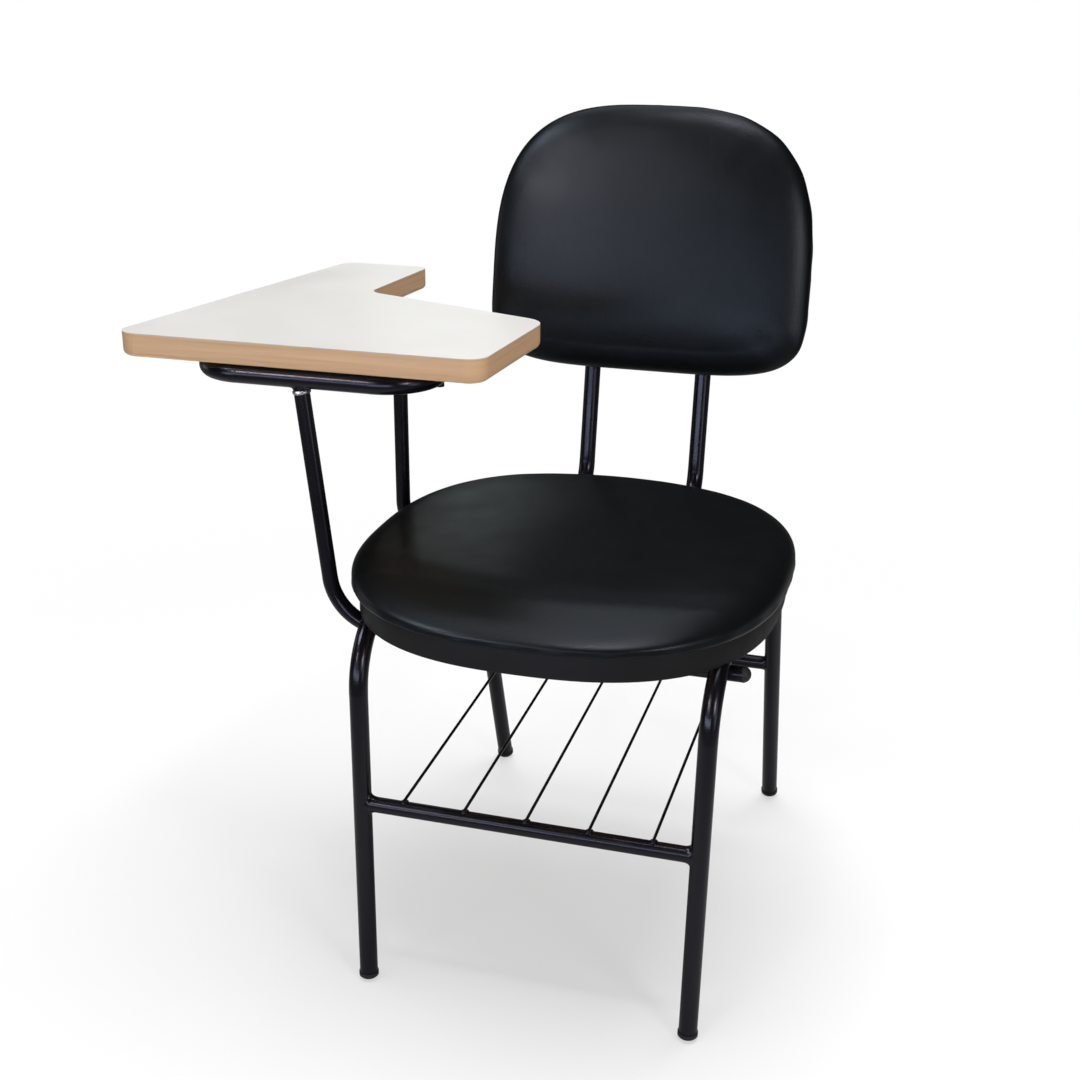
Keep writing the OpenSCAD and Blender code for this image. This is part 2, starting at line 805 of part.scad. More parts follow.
module back_insert_nuts() {
    color([0.70, 0.70, 0.72])
        placed()
            at_back_holes()
                translate([0, 0, -back_board_front_y - back_nut_h - seat_gap])
                    insert_nut(back_nut_h);
}
module back_screws() {
    color([0.62, 0.62, 0.64])
        placed()
            at_back_holes()
                translate([0, 0, -tube_r - seat_gap])
                    pan_screw(tube_r - back_board_front_y - nut_flange_t, screw_d);
}

// Tablet outline as corners [x, y, radius], counter-clockwise, drawn in by a margin
tablet_corners = [
    [tablet_left_x, tablet_front_y, tablet_corner_r],
    [-tablet_inner_x, tablet_front_y, tablet_corner_r],
    [-tablet_inner_x + tablet_corner_r / 2, tablet_front_y + tablet_side_l, notch_round_share * tablet_corner_r],
    [
        tablet_left_x + tablet_outer_slant + armrest_w - tablet_w * armrest_flare_share,
        tablet_front_y + tablet_side_l + tablet_l * notch_depth_share, tablet_corner_r
    ],
    [tablet_left_x + tablet_outer_slant + armrest_w, tablet_rear_y, armrest_round_share * tablet_corner_r],
    [tablet_left_x + tablet_outer_slant, tablet_rear_y, tablet_corner_r]
];
function cross2(u, v) = u[0] * v[1] - u[1] * v[0];
function flat(p) = [p[0], p[1]];
// Corner i moved inward, where the two neighbouring edges moved by the margin meet
function inset_corner(corners, i, margin) =
    let (
        n = len(corners),
        a = flat(corners[(i + n - 1) % n]),
        b = flat(corners[i]),
        c = flat(corners[(i + 1) % n]),
        u = unit_dir(a, b),
        v = unit_dir(b, c),
        half = turn_angle(a, b, c) / 2,
        normal = unit_dir([0, 0], [-u[1] - v[1], u[0] + v[0]])
    )
    b + normal * margin / cos(half);
function inset_corners(corners, margin) = [
    for (i = [0 : len(corners) - 1])
        let (
            n = len(corners),
            p = inset_corner(corners, i, margin),
            turn = turn_angle(flat(corners[(i + n - 1) % n]), flat(corners[i]), flat(corners[(i + 1) % n]))
        )
        [p[0], p[1], corners[i][2] - sign(turn) * margin]
];
arc_steps = 8;
function rounded_outline(corners) = [
    for (i = [0 : len(corners) - 1])
        let (
            n = len(corners),
            a = flat(corners[(i + n - 1) % n]),
            b = flat(corners[i]),
            c = flat(corners[(i + 1) % n]),
            r = corners[i][2],
            turn = turn_angle(a, b, c),
            start = b - corner_tangent(a, b, c, r) * unit_dir(a, b),
            centre = start + sign(turn) * r * [-unit_dir(a, b)[1], unit_dir(a, b)[0]],
            first_angle = dir_angle(start - centre)
        )
        for (k = [0 : arc_steps])
            let (angle = first_angle + turn * k / arc_steps)
            centre + r * [cos(angle), sin(angle)]
];

// Plan outline box, whose middle is the origin
outline_left_x = min([for (p = rounded_outline(tablet_corners)) p[0]]);
outline_rear_y = back_corner_y + back_cover_y * cos(back_lean)
    + (back_widest_rise + back_upper_h - back_draw_in) * sin(back_lean);
outline_front_y = seat_y - seat_l / 2;
origin_x = (outline_left_x + seat_w / 2) / 2;
origin_y = (outline_front_y + outline_rear_y) / 2;

// Prism on the tablet's outline, drawn in by a margin
module tablet_prism(margin, low, high) {
    translate([0, 0, low])
        linear_extrude(height = high - low)
            polygon(rounded_outline(inset_corners(tablet_corners, margin)));
}
loop_middle_y = (loop_front_y + loop_rear_y) / 2;
module at_loop_holes() {
    for (side_x = [-1, 1])
        for (side_y = [-1, 1])
            translate([
                -loop_x + side_x * loop_w / 2,
                loop_middle_y + side_y * ((loop_rear_y - loop_front_y) / 2 - loop_corner_r - loop_tube_d / 2),
                loop_z
            ])
                children();
}
module tablet_board() {
    color([0.66, 0.54, 0.40])
        placed()
            difference() {
                tablet_prism(edge_strip_w + seat_gap / 2, tablet_bottom_z, tablet_top_z - laminate_t);
                at_loop_holes()
                    cylinder(h = loop_r + tablet_t / 2 + cut, d = wood_screw_d + fit_gap, $fn = tube_fn);
            }
}
module tablet_laminate() {
    color([0.93, 0.92, 0.89])
        placed()
            tablet_prism(0, tablet_top_z - laminate_t, tablet_top_z);
}
// Section of the edge strip: its outer face is x = 0 and its lower outer edge is round
module strip_section(trim) {
    h = tablet_t - laminate_t;
    translate([-edge_strip_w + trim, trim])
        square([edge_strip_w - edge_round_r, h - 2 * trim]);
    translate([-edge_round_r, edge_round_r])
        square([edge_round_r - trim, h - edge_round_r - trim]);
    translate([-edge_round_r, edge_round_r])
        intersection() {
            circle(r = edge_round_r - trim, $fn = 2 * tube_fn);
            translate([-trim, -edge_round_r])
                square([edge_round_r + trim, edge_round_r + trim]);
        }
}
// Corner i of the edge strip, and the straight run that follows it
module strip_corner(corners, i) {
    n = len(corners);
    a = flat(corners[(i + n - 1) % n]);
    b = flat(corners[i]);
    c = flat(corners[(i + 1) % n]);
    r = corners[i][2];
    next_r = corners[(i + 1) % n][2];
    turn = turn_angle(a, b, c);
    start = b - corner_tangent(a, b, c, r) * unit_dir(a, b);
    centre = start + sign(turn) * r * [-unit_dir(a, b)[1], unit_dir(a, b)[0]];
    first_angle = dir_angle(start - centre) + min(turn, 0);
    run_start = b + corner_tangent(a, b, c, r) * unit_dir(b, c);
    run_l = norm(c - b) - corner_tangent(a, b, c, r)
        - corner_tangent(b, c, flat(corners[(i + 2) % n]), next_r);
    translate([centre[0], centre[1], 0])
        rotate([0, 0, first_angle])
            rotate_extrude(angle = abs(turn), $fn = bend_fn)
                translate([r, 0])
                    mirror([turn > 0 ? 0 : 1, 0])
                        strip_section(0);
    translate([run_start[0], run_start[1], 0])
        rotate([0, 0, dir_angle(c - b)])
            translate([-bend_lap, 0, 0])
                rotate([90, 0, 90])
                    linear_extrude(height = run_l + 2 * bend_lap)
                        mirror([1, 0])
                            strip_section(lap_step);
}
module tablet_edge_strip() {
    color([0.80, 0.66, 0.47])
        placed()
            translate([0, 0, tablet_bottom_z])
                for (i = [0 : len(tablet_corners) - 1])
                    strip_corner(tablet_corners, i);
}
module tablet_support_loop() {
    color([0.09, 0.08, 0.09])
        placed()
            difference() {
                translate([-loop_x, loop_middle_y, loop_z])
                    tube_ring(loop_w, loop_rear_y - loop_front_y, loop_corner_r, loop_tube_d, frame_tube_wall);
                at_loop_holes()
                    translate([0, 0, -loop_tube_d])
                        cylinder(h = 2 * loop_tube_d, d = wood_screw_d + 2 * fit_gap, $fn = tube_fn);
            }
}
module tablet_screws() {
    color([0.62, 0.62, 0.64])
        placed()
            at_loop_holes()
                translate([0, 0, -loop_r - seat_gap])
                    pan_screw(loop_tube_d + tablet_t / 2, wood_screw_d);
}

side_frame(-1);  // left_side_frame
side_frame(1);  // right_side_frame
front_cross_tube();
rear_cross_tube();
basket_wire(0);  // basket_wire_1
basket_wire(1);  // basket_wire_2
basket_wire(2);  // basket_wire_3
basket_wire(3);  // basket_wire_4
basket_wire(4);  // basket_wire_5
front_riser_tube();
rear_riser_tube();
riser_plug(front_riser_y, front_member_z);  // front_riser_plug
riser_plug(rear_riser_y, rear_member_z);  // rear_riser_plug
back_tube(-1);  // left_back_tube
back_tube(1);  // right_back_tube
back_tube_plugs();
foot_plug(-1, true);  // foot_plug_front_left
foot_plug(1, true);  // foot_plug_front_right
foot_plug(-1, false);  // foot_plug_rear_left
foot_plug(1, false);  // foot_plug_rear_right
seat_tab(-1, tab_ys[0]);  // seat_tab_front_left
seat_tab(1, tab_ys[0]);  // seat_tab_front_right
seat_tab(-1, tab_ys[1]);  // seat_tab_rear_left
seat_tab(1, tab_ys[1]);  // seat_tab_rear_right
seat_board();
seat_edge_band();
seat_cushion();
seat_screws();
seat_insert_nuts();
back_board();
back_cover();
back_cushion();
back_screws();
back_insert_nuts();
tablet_support_loop();
tablet_board();
tablet_laminate();
tablet_edge_strip();
tablet_screws();
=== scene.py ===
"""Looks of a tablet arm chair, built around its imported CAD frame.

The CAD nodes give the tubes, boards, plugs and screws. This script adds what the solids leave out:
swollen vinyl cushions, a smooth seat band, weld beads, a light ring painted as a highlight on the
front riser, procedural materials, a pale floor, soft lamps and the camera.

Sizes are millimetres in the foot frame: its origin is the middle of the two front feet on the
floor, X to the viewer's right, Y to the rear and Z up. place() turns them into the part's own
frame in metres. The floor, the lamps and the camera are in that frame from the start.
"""

import math

import bpy
import numpy as np
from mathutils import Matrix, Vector


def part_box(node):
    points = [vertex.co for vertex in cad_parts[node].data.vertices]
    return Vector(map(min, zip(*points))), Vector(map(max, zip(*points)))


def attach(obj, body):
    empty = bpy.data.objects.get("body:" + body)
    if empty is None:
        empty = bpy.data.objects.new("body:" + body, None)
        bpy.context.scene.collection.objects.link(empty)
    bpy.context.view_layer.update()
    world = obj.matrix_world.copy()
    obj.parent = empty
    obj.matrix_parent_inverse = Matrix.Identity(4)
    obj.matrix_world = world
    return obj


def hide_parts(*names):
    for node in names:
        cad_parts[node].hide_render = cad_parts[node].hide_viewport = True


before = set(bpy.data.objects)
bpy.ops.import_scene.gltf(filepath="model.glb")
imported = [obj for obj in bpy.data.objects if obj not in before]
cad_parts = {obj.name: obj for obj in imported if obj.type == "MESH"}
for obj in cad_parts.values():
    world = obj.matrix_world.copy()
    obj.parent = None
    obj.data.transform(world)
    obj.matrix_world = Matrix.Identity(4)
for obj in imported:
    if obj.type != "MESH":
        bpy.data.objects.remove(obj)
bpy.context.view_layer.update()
scene = bpy.context.scene

# driving sizes of the chair
FRAME_TUBE_R = 9.5
CROSS_TUBE_R = 8.0
LOOP_TUBE_R = 10.0
PART_GAP = 0.2
RAIL_Z = 397.0
FOOT_DEPTH = 503.0
FOOT_DOME_Z = 12.6
SEAT_Y = 187.5
SEAT_OVERHANG = 51.0
REAR_FOOT_SPREAD = 16.0
SIDE_SLANT = math.radians(0.7)
FRONT_LEG_LEAN = math.radians(1.8)
REAR_LEG_LEAN = math.radians(18.4)
FRONT_RISER_INSET = 2.5
REAR_RISER_GAP = 9.0
FRONT_RISER_LANDING = 3.5


def millimetres(corners):
    """Corners in metres as a (2, 3) array in millimetres, rounded to a thousandth."""
    return np.round(np.array([list(corner) for corner in corners]) * 1000.0, 3)


SEAT_MIDDLE = millimetres(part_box("seat_edge_band")).mean(0)
ORIGIN = np.round([SEAT_MIDDLE[0], SEAT_MIDDLE[1] - SEAT_Y, 0.0], 3)


def place(points):
    """Foot frame in millimetres to the part's frame in metres: (p + origin) / 1000."""
    return (np.asarray(points, dtype=float) + ORIGIN) / 1000.0


def node_box(name):
    """A CAD node's lowest and highest corners in the foot frame."""
    return np.round(millimetres(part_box(name)) - ORIGIN, 3)


def node_middle(name):
    """The middle of a CAD node's box in the foot frame."""
    return node_box(name).mean(0)


# the pads stand on their solids' bases with a little air, and stay just inside their tops
PAD_LIFT = 0.3
PAD_SLACK = 0.4

SEAT_LOW, SEAT_HIGH = node_box("seat_cushion")
SEAT_CENTRE = (SEAT_LOW[:2] + SEAT_HIGH[:2]) / 2
SEAT_HALF = (SEAT_HIGH[:2] - SEAT_LOW[:2]) / 2
SEAT_POWER = 2.5
SEAT_BASE_Z = SEAT_LOW[2] + PAD_LIFT
SEAT_H = round(SEAT_HIGH[2] - SEAT_LOW[2] - PAD_SLACK, 3)
SEAT_RIM = {"tuck": 7.0, "waist": 13.0, "edge_w": 29.0, "edge_h": 18.5}
ROLL_L = 56.0
ROLL_DROP = 18.0
ROLL_BOW = 52.0
ROLL_SLOPE = 0.26
ROLL_ROUND = 8.0
CREASE_DROP = 2.4
CREASE_W = 40.0
SEAT_PULLS = {"size": 0.35, "turns": 31, "sway": 1.3, "sway_turns": 3, "level": 0.16, "reach": 0.012}

BAND_LOW, BAND_TOP = node_box("seat_edge_band")[:, 2]
BAND_INSET = 7.0
BAND_T = 3.0
BAND_LIP_R = 1.4

BACK_CORNER = np.array([0.0, 480.0, RAIL_Z])
BACK_LEAN = math.radians(9.9)
BACK_COVER_T = 3.0
BACK_BOARD_T = 12.0
BACK_BASE_Y = -(FRAME_TUBE_R + BACK_COVER_T + BACK_BOARD_T + 3 * PART_GAP + PAD_LIFT)
BACK_WIDEST = 257.0
BACK_HALF_W = node_box("back_cushion")[1][0]
BACK_UPPER_H = 203.0
BACK_LOWER_H = 102.0
BACK_UPPER_POWER = 3.0
BACK_LOWER_POWER = 4.3
BACK_H = 36.0 - PAD_SLACK
BACK_RIM = {"tuck": 6.0, "waist": 12.0, "edge_w": 36.0, "edge_h": 15.5}
BACK_PULLS = {"size": 0.3, "turns": 29, "sway": 1.1, "sway_turns": 2, "level": 0.14, "reach": 0.010}

OUTLINE_POINTS = 288


# meshes
def outward(points, faces):
    """The faces of a closed surface, turned round if its volume sum a.(b x c) / 6 is negative."""
    points = np.asarray(points, dtype=float)
    tris = np.array([[f[0], f[i], f[i + 1]] for f in faces for i in range(1, len(f) - 1)])
    a, b, c = points[tris[:, 0]], points[tris[:, 1]], points[tris[:, 2]]
    volume = (a * np.cross(b, c)).sum()
    return [list(f)[::-1] for f in faces] if volume < 0 else [list(f) for f in faces]


def make_mesh(name, points, faces):
    """A smooth mesh object at the origin from an (n, 3) array in metres and lists of corners."""
    faces = outward(points, faces)
    mesh = bpy.data.meshes.new(name)
    mesh.from_pydata(np.asarray(points).tolist(), [], faces)
    mesh.update()
    mesh.polygons.foreach_set("use_smooth", np.full(len(mesh.polygons), True))
    piece = bpy.data.objects.new(name, mesh)
    scene.collection.objects.link(piece)
    return piece


def grid_quads(rows, cols, close_rows=False):
    """Quads of a grid whose columns wrap round: corners (r, c), (r, c+1), (r+1, c+1), (r+1, c)."""
    r = np.arange(rows if close_rows else rows - 1)[:, None]
    c = np.arange(cols)[None, :]
    up = (r + 1) % rows
    side = (c + 1) % cols
    quads = np.stack([r * cols + c, r * cols + side, up * cols + side, up * cols + c], axis=-1)
    return quads.reshape(-1, 4)


def rings_with_poles(rings):
    """Closed surface through an (m, n, 3) array of rings, with a pole at the middle of each end ring."""
    m, n, _ = rings.shape
    points = np.vstack([rings.reshape(-1, 3), rings[0].mean(0)[None], rings[-1].mean(0)[None]])
    i = np.arange(n)
    j = (i + 1) % n
    start = np.stack([j, i, np.full(n, m * n)], axis=-1)
    end = np.stack([(m - 1) * n + i, (m - 1) * n + j, np.full(n, m * n + 1)], axis=-1)
    return points, grid_quads(m, n).tolist() + start.tolist() + end.tolist()


def loop_tube(curve, out, radius, sides):
    """Closed tube along a closed curve: P(t, a) = C(t) + r (cos a N + sin a B), N the outward way."""
    tangent = np.roll(curve, -1, 0) - np.roll(curve, 1, 0)
    tangent /= np.linalg.norm(tangent, axis=1)[:, None]
    normal = out - (out * tangent).sum(1)[:, None] * tangent
    normal /= np.linalg.norm(normal, axis=1)[:, None]
    binormal = np.cross(tangent, normal)
    a = np.linspace(0, 2 * math.pi, sides, endpoint=False)[None, :, None]
    points = curve[:, None] + radius * (np.cos(a) * normal[:, None] + np.sin(a) * binormal[:, None])
    return points.reshape(-1, 3), grid_quads(len(curve), sides, True)


def unit(v):
    """v / |v|."""
    v = np.asarray(v, dtype=float)
    return v / np.linalg.norm(v)


def saddle(foot, way, r, grow, through, through_way, big_r, count=72):
    """Where a tube of radius r meets a tube of radius R: on the small tube's side
    P(a) = O + (r + g1) cos a U + (r + g2) sin a V + t(a) W, with t(a) the nearer root of
    |P - axis| = R. V runs along the big tube. Returns the curve and the outward way at each point."""
    w = unit(way)
    d = unit(through_way)
    u = unit(np.cross(w, d))
    v = np.cross(w, u)
    a = np.linspace(0, 2 * math.pi, count, endpoint=False)[:, None]
    ring = np.cos(a) * u + np.sin(a) * v
    start = np.asarray(foot, dtype=float) + (r + grow[0]) * np.cos(a) * u + (r + grow[1]) * np.sin(a) * v
    rel = start - np.asarray(through, dtype=float)
    rel = rel - (rel @ d)[:, None] * d
    run = w - (w @ d) * d
    qa = run @ run
    qb = 2 * (rel @ run)
    qc = (rel * rel).sum(1) - big_r**2
    root = np.sqrt(np.maximum(qb * qb - 4 * qa * qc, 0))
    t = (-qb - root) / (2 * qa)
    return start + t[:, None] * w, ring


def fillet_ring(foot, way, r, through, through_way, big_r, run=10.0, rise=4.6, side=0.9, rows=9):
    """Weld run smooth between two tubes: B(s) = (1-s)^2 P1 + 2 s (1-s) S + s^2 P2, with S the saddle
    curve, P1 on the small tube run (0.45 + 0.55 sin^2 a) back and P2 on the big tube rise farther
    out. A last row inside the tubes closes the ring."""
    w = unit(way)
    meet, ring = saddle(foot, way, r, (0, 0), through, through_way, big_r)
    far, _ = saddle(foot, way, r, (side, rise), through, through_way, big_r)
    a = np.linspace(0, 2 * math.pi, len(meet), endpoint=False)[:, None]
    wave = 1 + 0.05 * np.sin(9 * a + 0.4) + 0.04 * np.sin(14 * a)
    near = meet - run * wave * (0.45 + 0.55 * np.sin(a) ** 2) * w - 0.12 * ring
    far = far + 0.15 * w
    s = np.linspace(0, 1, rows)[:, None, None]
    shell = (1 - s) ** 2 * near + 2 * s * (1 - s) * meet + s**2 * far
    inside = (meet + 1.6 * w - 1.2 * ring)[None]
    rings = np.concatenate([shell, inside])
    return rings.reshape(-1, 3), grid_quads(rows + 1, len(meet), True)


def collar(centre, way, r, size, count=64, sides=12):
    """Thin bead round a tube: a closed tube of radius size along the circle C + r (cos a U + sin a V)."""
    w = unit(way)
    u = unit(np.cross(w, [0.0, 1.0, 0.0]))
    v = np.cross(w, u)
    a = np.linspace(0, 2 * math.pi, count, endpoint=False)[:, None]
    ring = np.cos(a) * u + np.sin(a) * v
    return loop_tube(np.asarray(centre, dtype=float) + r * ring, ring, size, sides)


def blob(centre, axes, long_way, rows=9, cols=16):
    """Ellipsoid C + a cos e cos f X + b cos e sin f Y + c sin e Z, with X the long way and Z near up."""
    x = unit(long_way)
    up = np.array([0.0, 0.0, 1.0])
    z = unit(up - (up @ x) * x)
    y = np.cross(z, x)
    e = np.linspace(-math.pi / 2, math.pi / 2, rows + 2)[1:-1][:, None, None]
    f = np.linspace(0, 2 * math.pi, cols, endpoint=False)[None, :, None]
    rings = (
        np.asarray(centre, dtype=float)
        + axes[0] * np.cos(e) * np.cos(f) * x
        + axes[1] * np.cos(e) * np.sin(f) * y
        + axes[2] * np.sin(e) * z
    )
    return rings_with_poles(rings)


def joined(name, parts):
    """One mesh object from a list of (points in foot millimetres, faces)."""
    points = []
    faces = []
    first = 0
    for p, f in parts:
        points.append(np.asarray(p))
        faces += [[int(i) + first for i in q] for q in outward(p, f)]
        first += len(p)
    return make_mesh(name, place(np.vstack(points)), faces)


# outlines of the seat and the back
def squircle(half_x, half_top, half_low, power_top, power_low, margin):
    """Outline x = a s(cos t)|cos t|^(2/n), y = b s(sin t)|sin t|^(2/n), with b and n by the sign of y
    and s the sign. The margin draws it in."""
    t = np.linspace(0, 2 * math.pi, OUTLINE_POINTS, endpoint=False)
    c, s = np.cos(t), np.sin(t)
    top = s >= 0
    n = np.where(top, power_top, power_low)
    b = np.where(top, half_top, half_low) - margin
    x = (half_x - margin) * np.sign(c) * np.abs(c) ** (2 / n)
    y = b * np.sign(s) * np.abs(s) ** (2 / n)
    return np.stack([x, y], axis=-1)


def seat_outline(margin):
    """The seat's outline about its middle, drawn in by the margin."""
    return squircle(SEAT_HALF[0], SEAT_HALF[1], SEAT_HALF[1], SEAT_POWER, SEAT_POWER, margin)


def back_outline(margin):
    """The back's outline about its widest level, drawn in by the margin."""
    return squircle(
        BACK_HALF_W, BACK_UPPER_H, BACK_LOWER_H, BACK_UPPER_POWER, BACK_LOWER_POWER, margin
    )


# cushions
def pad_rings(outline, height, tuck, waist, edge_w, edge_h, low_rows=9, edge_rows=22, top_rows=26):
    """Rings (u, v, h) of a pad. Below the waist the side draws in by tuck (1 - cos q). Above it
    rolls over by w (1 - cos q), h = waist + e sin q, up to the q where its slope is the crown's;
    the crown is h = H - (H - h1) s^p with s the share of the way out from the middle."""
    reach = np.abs(outline(edge_w)).max(0).mean()
    power = 2.2
    slope = power * (height - waist - edge_h) / reach
    last = math.atan2(edge_h, edge_w * slope)
    q = np.linspace(math.pi / 2, 0, low_rows)
    inset = tuck * (1 - np.cos(q))
    level = waist * (1 - np.sin(q))
    q = np.linspace(0, last, edge_rows)[1:]
    inset = np.concatenate([inset, edge_w * (1 - np.cos(q))])
    level = np.concatenate([level, waist + edge_h * np.sin(q)])
    rings = [np.column_stack([outline(i), np.full(OUTLINE_POINTS, h)]) for i, h in zip(inset, level)]
    inner = outline(inset[-1])
    for s in np.linspace(1, 0, top_rows, endpoint=False)[1:]:
        h = height - (height - level[-1]) * s**power
        rings.append(np.column_stack([inner * s, np.full(OUTLINE_POINTS, h)]))
    return np.array(rings)


def smoothed(points, edges, turns, share=0.5):
    """Moves each point by a share of the way to the mean of its neighbours, a few times."""
    count = np.zeros(len(points))
    np.add.at(count, edges[:, 0], 1)
    np.add.at(count, edges[:, 1], 1)
    for _ in range(turns):
        total = np.zeros_like(points)
        np.add.at(total, edges[:, 0], points[edges[:, 1]])
        np.add.at(total, edges[:, 1], points[edges[:, 0]])
        points = points + share * (total / count[:, None] - points)
    return points


def coords(mesh):
    """The mesh's points as an (n, 3) array."""
    flat = np.empty(len(mesh.vertices) * 3)
    mesh.vertices.foreach_get("co", flat)
    return flat.reshape(-1, 3)


def set_coords(mesh, points):
    """Writes an (n, 3) array back to the mesh."""
    mesh.vertices.foreach_set("co", np.ascontiguousarray(points, dtype=np.float32).ravel())
    mesh.update()


def apply_modifiers(piece):
    """Swaps the mesh for the one that its modifiers give, and removes them."""
    depsgraph = bpy.context.evaluated_depsgraph_get()
    made = bpy.data.meshes.new_from_object(piece.evaluated_get(depsgraph))
    piece.modifiers.clear()
    piece.data = made


# the cloth: lengths in metres, as the trial pad is
CLOTH_BASE_SHARE = 0.12
CLOTH_CAP = 0.004
CLOTH_VOXEL = 0.005
CLOTH_PRESSURE = 4.0
CLOTH_FRAMES = 20
BROAD_W = 0.020
FINE_W = 0.005
FINE_SHARE = 0.12
SEAM_SHARE = 0.3


def swell(piece):
    """How Blender's cloth swells a closed pad in its own (u, v, h) frame: a remeshed copy, no
    gravity, its base pinned. A point's move d is cut to d min(1, cap / |d|).
    Returns the copy's start points and their moves."""
    trial = bpy.data.objects.new("trial", piece.data.copy())
    scene.collection.objects.link(trial)
    remesh = trial.modifiers.new("remesh", "REMESH")
    remesh.mode = "VOXEL"
    remesh.voxel_size = CLOTH_VOXEL
    apply_modifiers(trial)
    mesh = trial.data
    edges = np.empty(len(mesh.edges) * 2, dtype=np.int64)
    mesh.edges.foreach_get("vertices", edges)
    start = smoothed(coords(mesh), edges.reshape(-1, 2), 3)
    set_coords(mesh, start)
    low = np.flatnonzero(start[:, 2] < start[:, 2].max() * CLOTH_BASE_SHARE)
    group = trial.vertex_groups.new(name="base")
    group.add(low.tolist(), 1.0, "REPLACE")
    cloth = trial.modifiers.new("cloth", "CLOTH")
    cloth.settings.vertex_group_mass = "base"
    cloth.settings.use_pressure = True
    cloth.settings.uniform_pressure_force = CLOTH_PRESSURE
    cloth.settings.effector_weights.gravity = 0.0
    cloth.point_cache.frame_start = 1
    cloth.point_cache.frame_end = CLOTH_FRAMES
    for step in range(1, CLOTH_FRAMES + 1):
        scene.frame_set(step)
    apply_modifiers(trial)
    scene.frame_set(1)
    move = coords(trial.data) - start
    bpy.data.objects.remove(trial)
    size = np.linalg.norm(move, axis=1)[:, None]
    return start, move * np.minimum(1.0, CLOTH_CAP / np.maximum(size, 1e-9))


def carried(points, start, move, width):
    """The move at each point: the mean of the moves round it, weighted by exp(-d^2 / 2 w^2)."""
    made = []
    for part in np.array_split(points, 24):
        gap = (part**2).sum(1)[:, None] + (start**2).sum(1)[None] - 2 * part @ start.T
        weight = np.exp(-np.maximum(gap, 0) / (2 * width**2)) + 1e-12
        made.append((weight @ move) / weight.sum(1)[:, None])
    return np.vstack(made)


def smooth_step(x):
    """x^2 (3 - 2 x), held between 0 and 1."""
    x = np.clip(x, 0, 1)
    return x * x * (3 - 2 * x)


def seam_pulls(u, v, share, size, turns, sway, sway_turns, level, reach):
    """(u, v) moved outwards by small pulls at the seam: size sin(turns a + sway sin(sway_turns a)),
    with a the way round, fading by exp(-(share - level)^2 / reach)."""
    around = np.arctan2(v, u)
    wave = np.sin(turns * around + sway * np.sin(sway_turns * around))
    pull = size * wave * np.exp(-((share - level) ** 2) / reach)
    scale = 1 + pull / np.maximum(np.hypot(u, v), 1)
    return u * scale, v * scale


def seat_form(p):
    """Seat pad in (u, v, h) mm. A crease runs along v0 = -b + L + bow (u/a)^2. With x = v0 - v, the
    top behind it sinks by c S((x + w)/w), with S(t) = t^2 (3 - 2t). In front of it the roll falls
    by k R(x) + (D - c - k L) (x/L)^2, where R is x with its start rounded over r. The side has
    slight pulls at its seam."""
    u, v, h = p.T.copy()
    share = h / SEAT_H
    out = (u / SEAT_HALF[0]) ** 2
    x = -SEAT_HALF[1] + ROLL_L + ROLL_BOW * out - v
    fall = CREASE_DROP * smooth_step(1 + x / CREASE_W)
    rounded = np.clip(x + ROLL_ROUND / 2, 0, ROLL_ROUND) ** 2 / (2 * ROLL_ROUND)
    rounded += np.maximum(x - ROLL_ROUND / 2, 0)
    fall += ROLL_SLOPE * rounded
    fall += (ROLL_DROP - CREASE_DROP - ROLL_SLOPE * ROLL_L) * np.clip(x / ROLL_L, 0, 1) ** 2
    u, v = seam_pulls(u, v, share, **SEAT_PULLS)
    return np.column_stack([u, v, h - fall * share])


def back_form(p):
    """Back pad in (u, v, h) mm: it has only the slight pulls at its seam."""
    u, v, h = p.T.copy()
    share = h / BACK_H
    u, v = seam_pulls(u, v, share, **BACK_PULLS)
    return np.column_stack([u, v, h])


def seat_place(p):
    """(u, v, h) to the foot frame: (u, v + seat centre, base + h)."""
    return np.column_stack([p[:, 0] + SEAT_CENTRE[0], p[:, 1] + SEAT_CENTRE[1], SEAT_BASE_Z + p[:, 2]])


def back_place(p):
    """(u, v, h) to the foot frame: x = u, y = y0 - h, leaned back by the lean about X."""
    c, s = math.cos(BACK_LEAN), math.sin(BACK_LEAN)
    y = BACK_BASE_Y - p[:, 2]
    z = BACK_WIDEST + p[:, 1]
    return BACK_CORNER + np.column_stack([p[:, 0], y * c + z * s, z * c - y * s])


def make_pad(name, outline, rim, form, put, half_x, height):
    """A vinyl pad: clean rings, the broad swell of the cloth and an eighth of its fine creases,
    each fading to nothing at the seam, then the pad's form and place."""
    shrink = 1.5
    rings = pad_rings(lambda m: outline(m + shrink), height - shrink, **rim)
    points, faces = rings_with_poles(rings)
    piece = make_mesh(name, points / 1000.0, faces)
    p = points
    start, move = swell(piece)
    broad = carried(points / 1000.0, start, move, BROAD_W) * 1000.0
    fine = carried(points / 1000.0, start, move, FINE_W) * 1000.0
    hold = smooth_step(points[:, 2:] / (SEAM_SHARE * height))
    p = points + hold * (broad + FINE_SHARE * (fine - broad))
    p[:, :2] *= half_x / np.abs(p[:, 0]).max()
    p[:, 2] *= height / p[:, 2].max()
    set_coords(piece.data, place(put(form(p))))
    return piece


seat_pad = make_pad(
    "seat_vinyl", seat_outline, SEAT_RIM, seat_form, seat_place, SEAT_HALF[0], SEAT_H
)
back_pad = make_pad(
    "back_vinyl", back_outline, BACK_RIM, back_form, back_place, BACK_HALF_W, BACK_H
)


